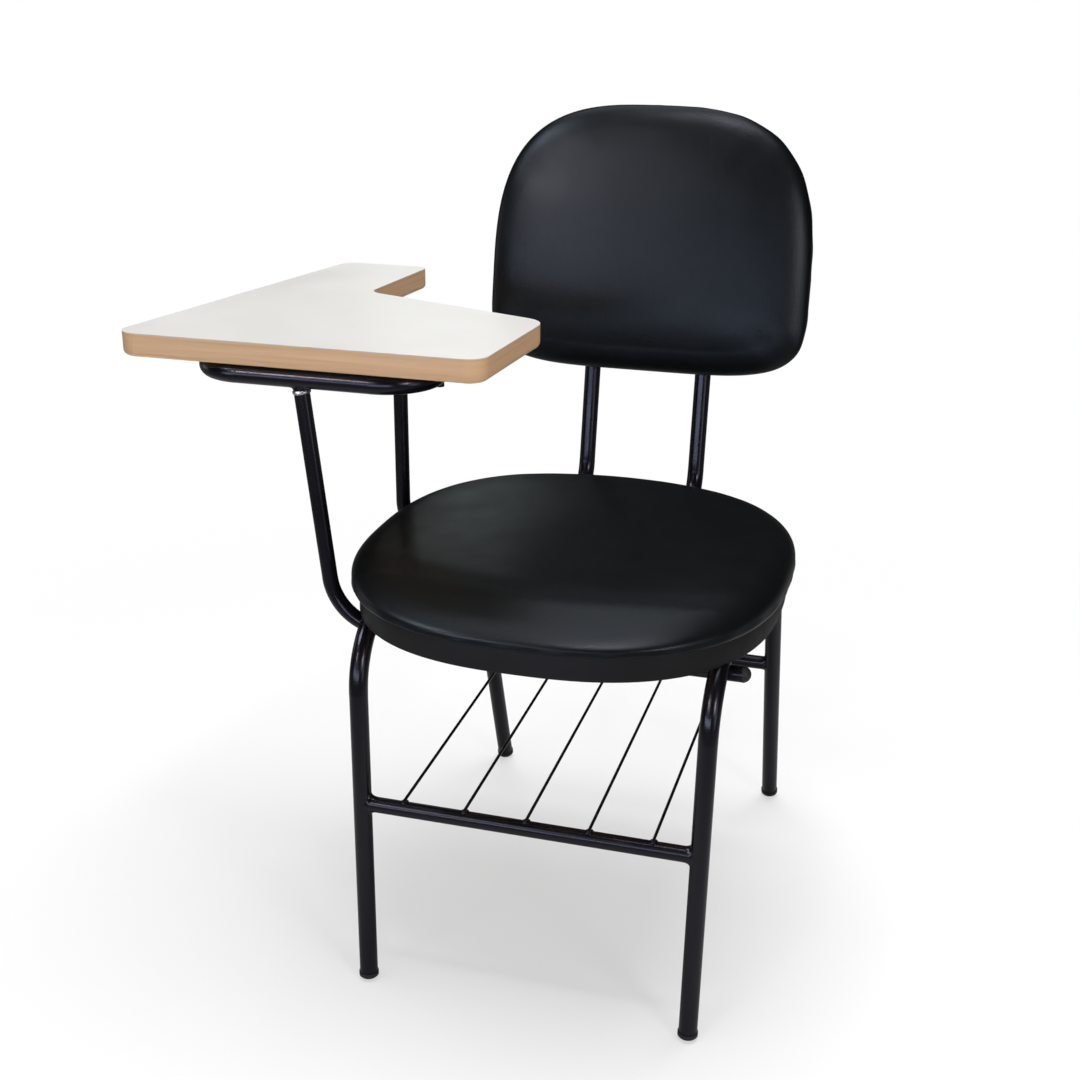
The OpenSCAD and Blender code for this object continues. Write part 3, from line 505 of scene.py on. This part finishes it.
# seat band
def make_band():
    """The seat's edge band: its section (inset, z) with rounded lips, carried round the outline."""
    q = np.linspace(0, math.pi / 2, 6)
    outer, inner = BAND_INSET, BAND_INSET + BAND_T
    foot = BAND_LIP_R * (1 - np.sin(q))
    lip = BAND_LIP_R * (1 - np.cos(q))
    inset = np.concatenate([outer + foot, outer + lip, [inner, inner]])
    level = np.concatenate([BAND_LOW + lip, BAND_TOP - foot, [BAND_TOP, BAND_LOW]])
    rings = [
        np.column_stack([seat_outline(i) + SEAT_CENTRE, np.full(OUTLINE_POINTS, z)])
        for i, z in zip(inset, level)
    ]
    points = place(np.vstack(rings))
    return make_mesh("seat_band", points, grid_quads(len(rings), OUTLINE_POINTS, True))


seat_band = make_band()
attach(seat_band, "root")
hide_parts("seat_edge_band")

# weld beads
FRONT_FOOT_X = SEAT_HALF[0] - SEAT_OVERHANG
REAR_FOOT_X = FRONT_FOOT_X + REAR_FOOT_SPREAD / 2
FRONT_CROSS = node_middle("front_cross_tube")
REAR_CROSS = node_middle("rear_cross_tube")
# a cross member's end plug gives the member's height and its place from front to rear
FRONT_MEMBER = node_middle("front_riser_plug")
REAR_MEMBER = node_middle("rear_riser_plug")
LOOP_MIDDLE = node_middle("tablet_support_loop")
RAIL_X = 177.2
BACK_TUBE_X = node_middle("right_back_tube")[0]
# size and place of the light ring that paints a highlight on the front riser's weld
HIGHLIGHT_RING_BACK = 13.4
HIGHLIGHT_RING_R = 6.9
HIGHLIGHT_RING_SIZE = 2.3
# half sizes of the spot welds, along, across and up, and where they sit beside a member's axis
WIRE_WELD = (5.0, 4.4, 1.7)
RAIL_WELD = (7.5, 2.6, 2.6)
RAIL_WELD_OUT = 7.0
RAIL_WELD_UP = 6.5
BACK_TUBE_WELD = (6.5, 2.6, 3.4)
BACK_TUBE_WELD_OUT = 6.6
BACK_TUBE_WELD_UP = 8.0


def leg_axis(side, foot_x, foot_y, lean):
    """A point on a leg's axis at its foot, and the way up it. The lean is to the rear."""
    slant = math.tan(SIDE_SLANT)
    point = np.array([side * (foot_x + FOOT_DOME_Z * slant), foot_y, FOOT_DOME_Z])
    return point, np.array([side * slant, math.tan(lean), 1.0])


def riser_axis(foot_x, member, top_x):
    """The foot and the top of a riser's axis, at its member's height and at the loop's."""
    return np.array([foot_x, member[1], member[2]]), np.array([top_x, member[1], LOOP_MIDDLE[2]])


def cross_welds():
    """A smooth fillet where each cross tube lands on each leg."""
    welds = []
    for side in (-1, 1):
        for foot_x, foot_y, lean, cross in (
            (FRONT_FOOT_X, 0.0, FRONT_LEG_LEAN, FRONT_CROSS),
            (REAR_FOOT_X, FOOT_DEPTH, -REAR_LEG_LEAN, REAR_CROSS),
        ):
            leg, up_leg = leg_axis(side, foot_x, foot_y, lean)
            welds.append(fillet_ring(cross, [side, 0, 0], CROSS_TUBE_R, leg, up_leg, FRAME_TUBE_R))
    return joined("weld_cross_tubes", welds)


FRONT_RISER = riser_axis(
    FRONT_RISER_INSET - SEAT_HALF[0], FRONT_MEMBER, LOOP_MIDDLE[0] - FRONT_RISER_LANDING
)
REAR_RISER = riser_axis(
    -SEAT_HALF[0] - REAR_RISER_GAP, REAR_MEMBER, -SEAT_HALF[0] - REAR_RISER_GAP
)


def loop_welds():
    """A short fillet where each riser meets the tablet's loop."""
    welds = []
    for foot, top in (FRONT_RISER, REAR_RISER):
        way = top - foot
        loop_point = [LOOP_MIDDLE[0], foot[1], LOOP_MIDDLE[2]]
        welds.append(
            fillet_ring(
                foot, way, CROSS_TUBE_R, loop_point, [1, 0, 0], LOOP_TUBE_R, run=3.0, rise=4.5
            )
        )
    return joined("weld_loop", welds)


def painted_highlight_ring():
    """A ring of light zinc near the top of the front riser: a painted highlight on the weld there."""
    foot, top = FRONT_RISER
    way = unit(top - foot)
    return joined(
        "weld_riser_highlight_ring", [collar(top - HIGHLIGHT_RING_BACK * way, way, HIGHLIGHT_RING_R, HIGHLIGHT_RING_SIZE)]
    )


def wire_welds():
    """A low spot weld where each wire crosses each cross tube."""
    slope = (REAR_CROSS[2] - FRONT_CROSS[2]) / (REAR_CROSS[1] - FRONT_CROSS[1])
    welds = []
    for name in sorted(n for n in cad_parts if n.startswith("basket_wire_")):
        x = node_middle(name)[0]
        for cross in (FRONT_CROSS, REAR_CROSS):
            spot = [x, cross[1], cross[2] + CROSS_TUBE_R]
            welds.append(blob(spot, WIRE_WELD, [0, 1, slope]))
    return joined("weld_wires", welds)


def member_welds():
    """Spot welds along both edges of each cross member, under the rails and at the back tubes."""
    welds = []
    for _, y, z in (FRONT_MEMBER, REAR_MEMBER):
        for side in (-1, 1):
            for edge in (-1, 1):
                spot = [side * RAIL_X, y + edge * RAIL_WELD_OUT, z + RAIL_WELD_UP]
                welds.append(blob(spot, RAIL_WELD, [1, 0, 0]))
                spot = [side * BACK_TUBE_X, y + edge * BACK_TUBE_WELD_OUT, z + BACK_TUBE_WELD_UP]
                welds.append(blob(spot, BACK_TUBE_WELD, [1, 0, 0]))
    return joined("weld_members", welds)


cross_beads = cross_welds()
loop_beads = loop_welds()
riser_highlight_ring = painted_highlight_ring()
wire_beads = wire_welds()
member_beads = member_welds()
for piece in (cross_beads, loop_beads, wire_beads, member_beads):
    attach(piece, "root")
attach(riser_highlight_ring, "root")
for piece, node in ((seat_pad, "seat_cushion"), (back_pad, "back_cushion")):
    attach(piece, "root")
    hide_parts(node)

# nodes for the materials
VALUE = "NodeSocketFloat"
VECTOR = "NodeSocketVector"


def feed(tree, socket, value):
    """Links a socket into the socket, or sets it to a plain value."""
    if isinstance(value, bpy.types.NodeSocket):
        tree.links.new(value, socket)
    else:
        socket.default_value = value


def object_coords(tree):
    """The piece's own coordinates in metres."""
    return tree.nodes.new("ShaderNodeTexCoord").outputs["Object"]


def stretched(tree, where, scale):
    """The coordinates scaled along each axis."""
    mapping = tree.nodes.new("ShaderNodeMapping")
    feed(tree, mapping.inputs["Scale"], scale)
    tree.links.new(where, mapping.inputs["Vector"])
    return mapping.outputs["Vector"]


def noise(tree, where, scale, detail, rough=0.5):
    """Noise from 0 to 1."""
    n = tree.nodes.new("ShaderNodeTexNoise")
    feed(tree, n.inputs["Scale"], scale)
    feed(tree, n.inputs["Detail"], detail)
    n.inputs["Roughness"].default_value = rough
    tree.links.new(where, n.inputs["Vector"])
    return n.outputs[0]


def cells(tree, where, scale, feature):
    """Distance to the nearest cell centre."""
    v = tree.nodes.new("ShaderNodeTexVoronoi")
    v.feature = feature
    v.inputs["Scale"].default_value = scale
    tree.links.new(where, v.inputs["Vector"])
    return v.outputs["Distance"]


def ramp(tree, value, stops):
    """Colours at shares of the value."""
    r = tree.nodes.new("ShaderNodeValToRGB")
    while len(r.color_ramp.elements) < len(stops):
        r.color_ramp.elements.new(0.5)
    for element, (share, colour) in zip(r.color_ramp.elements, stops):
        element.position = share
        element.color = (*colour, 1.0)
    tree.links.new(value, r.inputs["Fac"])
    return r.outputs["Color"]


def spread(tree, value, low, high):
    """The middle of the noise, 0.3 to 0.7, moved to the range from low to high."""
    m = tree.nodes.new("ShaderNodeMapRange")
    m.inputs["From Min"].default_value = 0.3
    m.inputs["From Max"].default_value = 0.7
    feed(tree, m.inputs["To Min"], low)
    feed(tree, m.inputs["To Max"], high)
    tree.links.new(value, m.inputs["Value"])
    return m.outputs["Result"]


def sums(tree, operation, *values, clamp=False):
    """One Math node on sockets and numbers."""
    node = tree.nodes.new("ShaderNodeMath")
    node.operation = operation
    node.use_clamp = clamp
    for socket, value in zip(node.inputs, values):
        feed(tree, socket, value)
    return node.outputs[0]


def plus(tree, a, b, share):
    """a + share b."""
    return sums(tree, "MULTIPLY_ADD", b, share, a)


# effects that several materials share
def new_group(name, inputs, outputs):
    """An empty node group with named sockets. Returns it, its inputs, its outputs and coordinates."""
    tree = bpy.data.node_groups.new(name, "ShaderNodeTree")
    for label, kind in inputs:
        tree.interface.new_socket(label, in_out="INPUT", socket_type=kind)
    for label, kind in outputs:
        tree.interface.new_socket(label, in_out="OUTPUT", socket_type=kind)
    given = tree.nodes.new("NodeGroupInput").outputs
    out = tree.nodes.new("NodeGroupOutput").inputs
    return tree, given, out, object_coords(tree)


def placed(tree, group, values):
    """A group placed in a material, with its own values."""
    node = tree.nodes.new("ShaderNodeGroup")
    node.node_tree = group
    for label, value in values.items():
        node.inputs[label].default_value = value
    return node.outputs


def make_unevenness():
    """Slow changes over a surface: Tone runs through a material's colours, Roughness from Low to
    High. Stretch draws the tone out along an axis."""
    tree, given, out, where = new_group(
        "unevenness",
        (
            ("Stretch", VECTOR),
            ("Tone Scale", VALUE),
            ("Tone Detail", VALUE),
            ("Wear Scale", VALUE),
            ("Low Roughness", VALUE),
            ("High Roughness", VALUE),
        ),
        (("Tone", VALUE), ("Roughness", VALUE)),
    )
    along = stretched(tree, where, given["Stretch"])
    tone = noise(tree, along, given["Tone Scale"], given["Tone Detail"], 0.6)
    wear = noise(tree, where, given["Wear Scale"], 3.0, 0.6)
    tree.links.new(tone, out["Tone"])
    tree.links.new(spread(tree, wear, given["Low Roughness"], given["High Roughness"]), out["Roughness"])
    return tree


def make_spark():
    """The fine spark texture of moulded plastic."""
    tree, given, out, where = new_group("spark_texture", (("Scale", VALUE),), (("Height", VALUE),))
    tree.links.new(noise(tree, where, given["Scale"], 3.0), out["Height"])
    return tree


def make_pores():
    """Grain lines of wood: noise drawn out by Stretch."""
    tree, given, out, where = new_group("wood_pores", (("Stretch", VECTOR),), (("Height", VALUE),))
    tree.links.new(noise(tree, stretched(tree, where, given["Stretch"]), 1.0, 3.0, 0.6), out["Height"])
    return tree


UNEVENNESS = make_unevenness()
SPARK = make_spark()
PORES = make_pores()


# reliefs, each the height of one kind of surface
def peel(tree):
    """Orange peel of sprayed paint, with slow waves under it."""
    where = object_coords(tree)
    return plus(tree, noise(tree, where, 420.0, 2.0), noise(tree, where, 60.0, 1.0), 0.8)


def grain(tree):
    """Fine vinyl grain: small cells over a slight, larger unevenness."""
    where = object_coords(tree)
    return plus(tree, cells(tree, where, 1150.0, "SMOOTH_F1"), noise(tree, where, 95.0, 2.0), 0.5)


def spark(tree):
    """Moulded plastic."""
    return placed(tree, SPARK, {"Scale": 1400.0})["Height"]


def pores(tree):
    """Long low grain lines along a level edge, so the height changes mostly with z."""
    return placed(tree, PORES, {"Stretch": (9.0, 9.0, 520.0)})["Height"]


def flat_melamine(tree):
    """Very slight unevenness of a laminate."""
    return noise(tree, object_coords(tree), 300.0, 2.0)


def chips(tree):
    """Pressed wood chips."""
    return cells(tree, stretched(tree, object_coords(tree), (1.0, 1.0, 2.2)), 260.0, "F1")


def turning_marks(tree):
    """Fine turning marks on plated screws."""
    return noise(tree, stretched(tree, object_coords(tree), (1.0, 1.0, 6.0)), 900.0, 2.0)


# materials
def finish(name, colours, tone, wear, roughs, relief, bump, stretch=(1.0, 1.0, 1.0), **constants):
    """A material: tone is the scale and detail of its colour changes, stretch draws them out, wear
    is the scale of its roughness changes and roughs their range, bump is the strength and depth of
    its relief. The constants go straight into the shader."""
    made = bpy.data.materials.new(name)
    made.use_nodes = True
    tree = made.node_tree
    shader = tree.nodes["Principled BSDF"]
    surface = placed(
        tree,
        UNEVENNESS,
        {
            "Stretch": stretch,
            "Tone Scale": tone[0],
            "Tone Detail": tone[1],
            "Wear Scale": wear,
            "Low Roughness": roughs[0],
            "High Roughness": roughs[1],
        },
    )
    tree.links.new(ramp(tree, surface["Tone"], colours), shader.inputs["Base Color"])
    tree.links.new(surface["Roughness"], shader.inputs["Roughness"])
    bumps = tree.nodes.new("ShaderNodeBump")
    bumps.inputs["Strength"].default_value = bump[0]
    bumps.inputs["Distance"].default_value = bump[1]
    tree.links.new(relief(tree), bumps.inputs["Height"])
    tree.links.new(bumps.outputs["Normal"], shader.inputs["Normal"])
    for label, value in constants.items():
        shader.inputs[label.replace("_", " ")].default_value = value
    return made


MATERIALS = {
    "frame_paint": finish(
        "frame_paint",
        colours=((0.35, (0.0034, 0.0030, 0.0046)), (0.65, (0.0052, 0.0046, 0.0070))),
        tone=(9.0, 3.0),
        wear=22.0,
        roughs=(0.17, 0.27),
        relief=peel,
        bump=(0.10, 0.0006),
        Specular_IOR_Level=0.35,
        Specular_Tint=(0.95, 0.90, 1.0, 1.0),
    ),
    "plug_plastic": finish(
        "plug_plastic",
        colours=((0.3, (0.010, 0.010, 0.011)), (0.7, (0.017, 0.016, 0.017))),
        tone=(60.0, 3.0),
        wear=80.0,
        roughs=(0.42, 0.58),
        relief=spark,
        bump=(0.12, 0.0003),
        Specular_IOR_Level=0.4,
    ),
    "band_plastic": finish(
        "band_plastic",
        colours=((0.3, (0.0045, 0.0040, 0.0043)), (0.7, (0.0066, 0.0058, 0.0061))),
        tone=(14.0, 3.0),
        wear=30.0,
        roughs=(0.46, 0.60),
        relief=spark,
        bump=(0.10, 0.0003),
        Specular_IOR_Level=0.30,
    ),
    "cover_plastic": finish(
        "cover_plastic",
        colours=((0.3, (0.0130, 0.0130, 0.0140)), (0.7, (0.0180, 0.0175, 0.0185))),
        tone=(10.0, 3.0),
        wear=30.0,
        roughs=(0.45, 0.60),
        relief=spark,
        bump=(0.16, 0.0003),
        Specular_IOR_Level=0.4,
    ),
    "vinyl": finish(
        "vinyl",
        colours=((0.3, (0.0022, 0.0026, 0.0028)), (0.7, (0.0036, 0.0042, 0.0045))),
        tone=(7.0, 4.0),
        wear=18.0,
        roughs=(0.31, 0.38),
        relief=grain,
        bump=(0.22, 0.0004),
        Specular_IOR_Level=0.26,
        Specular_Tint=(0.86, 0.95, 1.0, 1.0),
    ),
    "laminate": finish(
        "laminate",
        colours=((0.25, (0.60, 0.590, 0.560)), (0.75, (0.65, 0.642, 0.617))),
        tone=(5.0, 3.0),
        wear=12.0,
        roughs=(0.30, 0.40),
        relief=flat_melamine,
        bump=(0.03, 0.0003),
        Specular_IOR_Level=0.45,
    ),
    "edge_strip": finish(
        "edge_strip",
        colours=(
            (0.25, (0.56, 0.335, 0.172)),
            (0.45, (0.65, 0.404, 0.220)),
            (0.60, (0.69, 0.438, 0.240)),
            (0.80, (0.75, 0.503, 0.290)),
        ),
        tone=(1.0, 4.0),
        stretch=(7.0, 7.0, 300.0),
        wear=40.0,
        roughs=(0.36, 0.48),
        relief=pores,
        bump=(0.10, 0.0003),
        Specular_IOR_Level=0.45,
    ),
    "plywood": finish(
        "plywood",
        colours=((0.3, (0.33, 0.21, 0.11)), (0.5, (0.44, 0.30, 0.17)), (0.75, (0.52, 0.37, 0.22))),
        tone=(1.0, 5.0),
        stretch=(60.0, 5.0, 60.0),
        wear=30.0,
        roughs=(0.55, 0.70),
        relief=pores,
        bump=(0.15, 0.0004),
        Specular_IOR_Level=0.3,
    ),
    "tablet_core": finish(
        "tablet_core",
        colours=((0.3, (0.30, 0.20, 0.115)), (0.55, (0.40, 0.28, 0.17)), (0.8, (0.52, 0.39, 0.25))),
        tone=(180.0, 3.0),
        wear=60.0,
        roughs=(0.60, 0.75),
        relief=chips,
        bump=(0.2, 0.0005),
        Specular_IOR_Level=0.3,
    ),
    "zinc_steel": finish(
        "zinc_steel",
        colours=((0.3, (0.50, 0.50, 0.51)), (0.7, (0.62, 0.62, 0.61))),
        tone=(300.0, 3.0),
        wear=200.0,
        roughs=(0.28, 0.42),
        relief=turning_marks,
        bump=(0.1, 0.0002),
        Metallic=1.0,
    ),
}

# the first row whose text is in a node's name gives its material, and the rest are painted steel
FINISH_OF = (
    ("_plug", "plug_plastic"),
    ("seat_edge_band", "band_plastic"),
    ("back_cover", "cover_plastic"),
    ("cushion", "vinyl"),
    ("tablet_laminate", "laminate"),
    ("tablet_edge_strip", "edge_strip"),
    ("tablet_board", "tablet_core"),
    ("_board", "plywood"),
    ("tablet_screws", "frame_paint"),
    ("_screws", "zinc_steel"),
    ("_nuts", "zinc_steel"),
)


def dress(piece, material):
    """Puts the material in every slot of the piece."""
    if not piece.data.materials:
        piece.data.materials.append(material)
    for i in range(len(piece.data.materials)):
        piece.data.materials[i] = material


for name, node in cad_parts.items():
    label = next((slot for part, slot in FINISH_OF if part in name), "frame_paint")
    dress(node, MATERIALS[label])
for piece in (cross_beads, loop_beads, wire_beads, member_beads):
    dress(piece, MATERIALS["frame_paint"])
# light zinc on the riser's ring is a painted highlight on its weld
dress(riser_highlight_ring, MATERIALS["zinc_steel"])
dress(seat_band, MATERIALS["band_plastic"])
dress(seat_pad, MATERIALS["vinyl"])
dress(back_pad, MATERIALS["vinyl"])

# floor and backdrop, in metres
scene.view_settings.view_transform = "Standard"
FLOOR_HALF = 7.0
FLOOR_GREY = 0.88
FLOOR_ROUGHNESS = 0.9
FADE_START = 0.45
FADE_END = 1.5
FADE_LEAST = 0.55
# the black vinyl and paint mirror the white floor and backdrop at these shares of their strength
FLOOR_GLOSS_SHARE = 0.15
WORLD_GLOSS_SHARE = 0.02


def backdrop_share(tree, path, gloss):
    """1 for a ray that the camera sees or that passes through glass, the share for a mirrored ray."""
    clear = sums(tree, "MAXIMUM", path["Is Camera Ray"], path["Is Transmission Ray"])
    return sums(tree, "MULTIPLY_ADD", path["Is Glossy Ray"], gloss, clear, clamp=True)


def make_floor():
    """A square floor. Far from the chair it fades into the backdrop's white, for the rays that show it."""
    h = FLOOR_HALF
    mesh = bpy.data.meshes.new("floor")
    mesh.from_pydata([(-h, -h, 0), (h, -h, 0), (h, h, 0), (-h, h, 0)], [], [(0, 1, 2, 3)])
    floor = bpy.data.objects.new("floor", mesh)
    scene.collection.objects.link(floor)
    look = bpy.data.materials.new("floor")
    look.use_nodes = True
    tree = look.node_tree
    shader = tree.nodes["Principled BSDF"]
    shader.inputs["Base Color"].default_value = (FLOOR_GREY, FLOOR_GREY, FLOOR_GREY, 1.0)
    shader.inputs["Roughness"].default_value = FLOOR_ROUGHNESS
    shader.inputs["Specular IOR Level"].default_value = 0.0
    reach = tree.nodes.new("ShaderNodeVectorMath")
    reach.operation = "LENGTH"
    tree.links.new(object_coords(tree), reach.inputs[0])
    fade = tree.nodes.new("ShaderNodeMapRange")
    fade.interpolation_type = "SMOOTHSTEP"
    fade.inputs["From Min"].default_value = FADE_START
    fade.inputs["From Max"].default_value = FADE_END
    fade.inputs["To Min"].default_value = FADE_LEAST
    tree.links.new(reach.outputs["Value"], fade.inputs["Value"])
    path = tree.nodes.new("ShaderNodeLightPath").outputs
    white = tree.nodes.new("ShaderNodeEmission")
    tree.links.new(backdrop_share(tree, path, FLOOR_GLOSS_SHARE), white.inputs["Strength"])
    mix = tree.nodes.new("ShaderNodeMixShader")
    shown = sums(tree, "MULTIPLY", fade.outputs["Result"], backdrop_share(tree, path, 1.0))
    tree.links.new(shown, mix.inputs[0])
    tree.links.new(shader.outputs[0], mix.inputs[1])
    tree.links.new(white.outputs[0], mix.inputs[2])
    tree.links.new(mix.outputs[0], tree.nodes["Material Output"].inputs["Surface"])
    dress(floor, look)


def make_backdrop():
    """A white world that puts no light on the object: only seen, glassy and mirrored rays show it."""
    world = bpy.data.worlds.new("studio")
    scene.world = world
    world.use_nodes = True
    tree = world.node_tree
    tree.nodes.clear()
    path = tree.nodes.new("ShaderNodeLightPath").outputs
    white = tree.nodes.new("ShaderNodeBackground")
    white.inputs["Color"].default_value = (1.0, 1.0, 1.0, 1.0)
    out = tree.nodes.new("ShaderNodeOutputWorld")
    tree.links.new(backdrop_share(tree, path, WORLD_GLOSS_SHARE), white.inputs["Strength"])
    tree.links.new(white.outputs[0], out.inputs["Surface"])


make_floor()

# lamps: each has a place and a target in metres, its width and height, its power and its colour
WHITE = (1.0, 1.0, 1.0)


def softbox(name, spot, target, size, power, colour):
    """An area lamp that faces its target."""
    data = bpy.data.lights.new(name, "AREA")
    data.shape = "RECTANGLE"
    data.size, data.size_y = size
    data.energy = power
    data.color = colour
    lamp = bpy.data.objects.new(name, data)
    lamp.location = spot
    way = Vector(target) - Vector(spot)
    lamp.rotation_euler = way.to_track_quat("-Z", "Y").to_euler()
    lamp.visible_camera = False
    scene.collection.objects.link(lamp)
    return lamp


# lamps that light the object and don't show as gloss
for lamp in (
    ("lamp_top", (0.0, 0.4, 5.0), (0.0, 0.0, 0.3), (3.6, 3.6), 300.0, WHITE),
    ("lamp_front", (0.3, -2.8, 1.2), (0.0, 0.0, 0.5), (1.2, 1.2), 9.0, WHITE),
):
    softbox(*lamp).visible_glossy = False
# lamps that do both
for lamp in (
    ("lamp_front_left", (-1.0, -2.6, 1.9), (0.1, 0.3, 0.7), (0.9, 0.9), 8.0, (0.86, 0.95, 1.0)),
    ("lamp_front_right", (1.9, -1.7, 1.3), (0.1, 0.0, 0.45), (0.5, 0.5), 14.0, (1.0, 0.93, 1.0)),
    ("lamp_right", (2.3, -1.1, 0.55), (0.1, 0.2, 0.6), (0.8, 0.8), 4.0, (0.85, 0.92, 1.0)),
    ("lamp_left", (-2.5, 0.2, 0.75), (0.1, 0.2, 0.6), (0.8, 0.8), 2.0, (0.92, 0.88, 1.0)),
    ("lamp_small", (0.1, -0.7, 2.4), (0.1, 0.0, 0.4), (0.16, 0.16), 5.0, (0.95, 0.90, 1.0)),
):
    softbox(*lamp)
# lamps that only show as gloss
for lamp in (
    ("gloss_rear_left", (-0.80, 2.06, 1.17), (0.0, 0.0, 0.46), (0.4, 0.4), 0.55, (0.90, 1.0, 1.0)),
    ("gloss_window", (-0.6, -2.6, 0.72), (0.0, 0.2, 0.6), (3.4, 0.45), 28.0, (0.66, 0.76, 1.0)),
    ("gloss_streak", (-1.21, -2.15, 1.75), (-0.17, -0.19, 0.63), (0.2, 0.2), 12.0, (1.0, 0.84, 0.95)),
    ("gloss_left_high", (-1.6, -1.0, 2.3), (0.0, -0.2, 0.45), (0.8, 0.8), 22.0, (0.80, 0.88, 1.0)),
    ("gloss_over", (0.40, -0.4, 2.6), (0.1, 0.0, 0.4), (0.9, 0.9), 13.0, (0.95, 0.90, 1.0)),
    ("gloss_ceiling", (-0.4, 0.55, 2.6), (0.1, -0.2, 0.45), (2.2, 1.2), 14.0, (0.88, 0.92, 1.0)),
):
    softbox(*lamp).visible_diffuse = False

make_backdrop()

# camera: its place in metres, and how it is tilted up, rolled and turned left, in degrees
CAMERA_SPOT = (0.483528, -1.50145, 1.0033)
CAMERA_TILT = 69.4017
CAMERA_ROLL = -0.37543
CAMERA_PAN = 16.29851
CAMERA_LENS = 50.88
SENSOR_W = 36.0

camera_data = bpy.data.cameras.new("camera")
camera_data.sensor_width = SENSOR_W
camera_data.lens = CAMERA_LENS
camera = bpy.data.objects.new("camera", camera_data)
camera.location = CAMERA_SPOT
camera.rotation_euler = [math.radians(angle) for angle in (CAMERA_TILT, CAMERA_ROLL, CAMERA_PAN)]
scene.collection.objects.link(camera)
scene.camera = camera
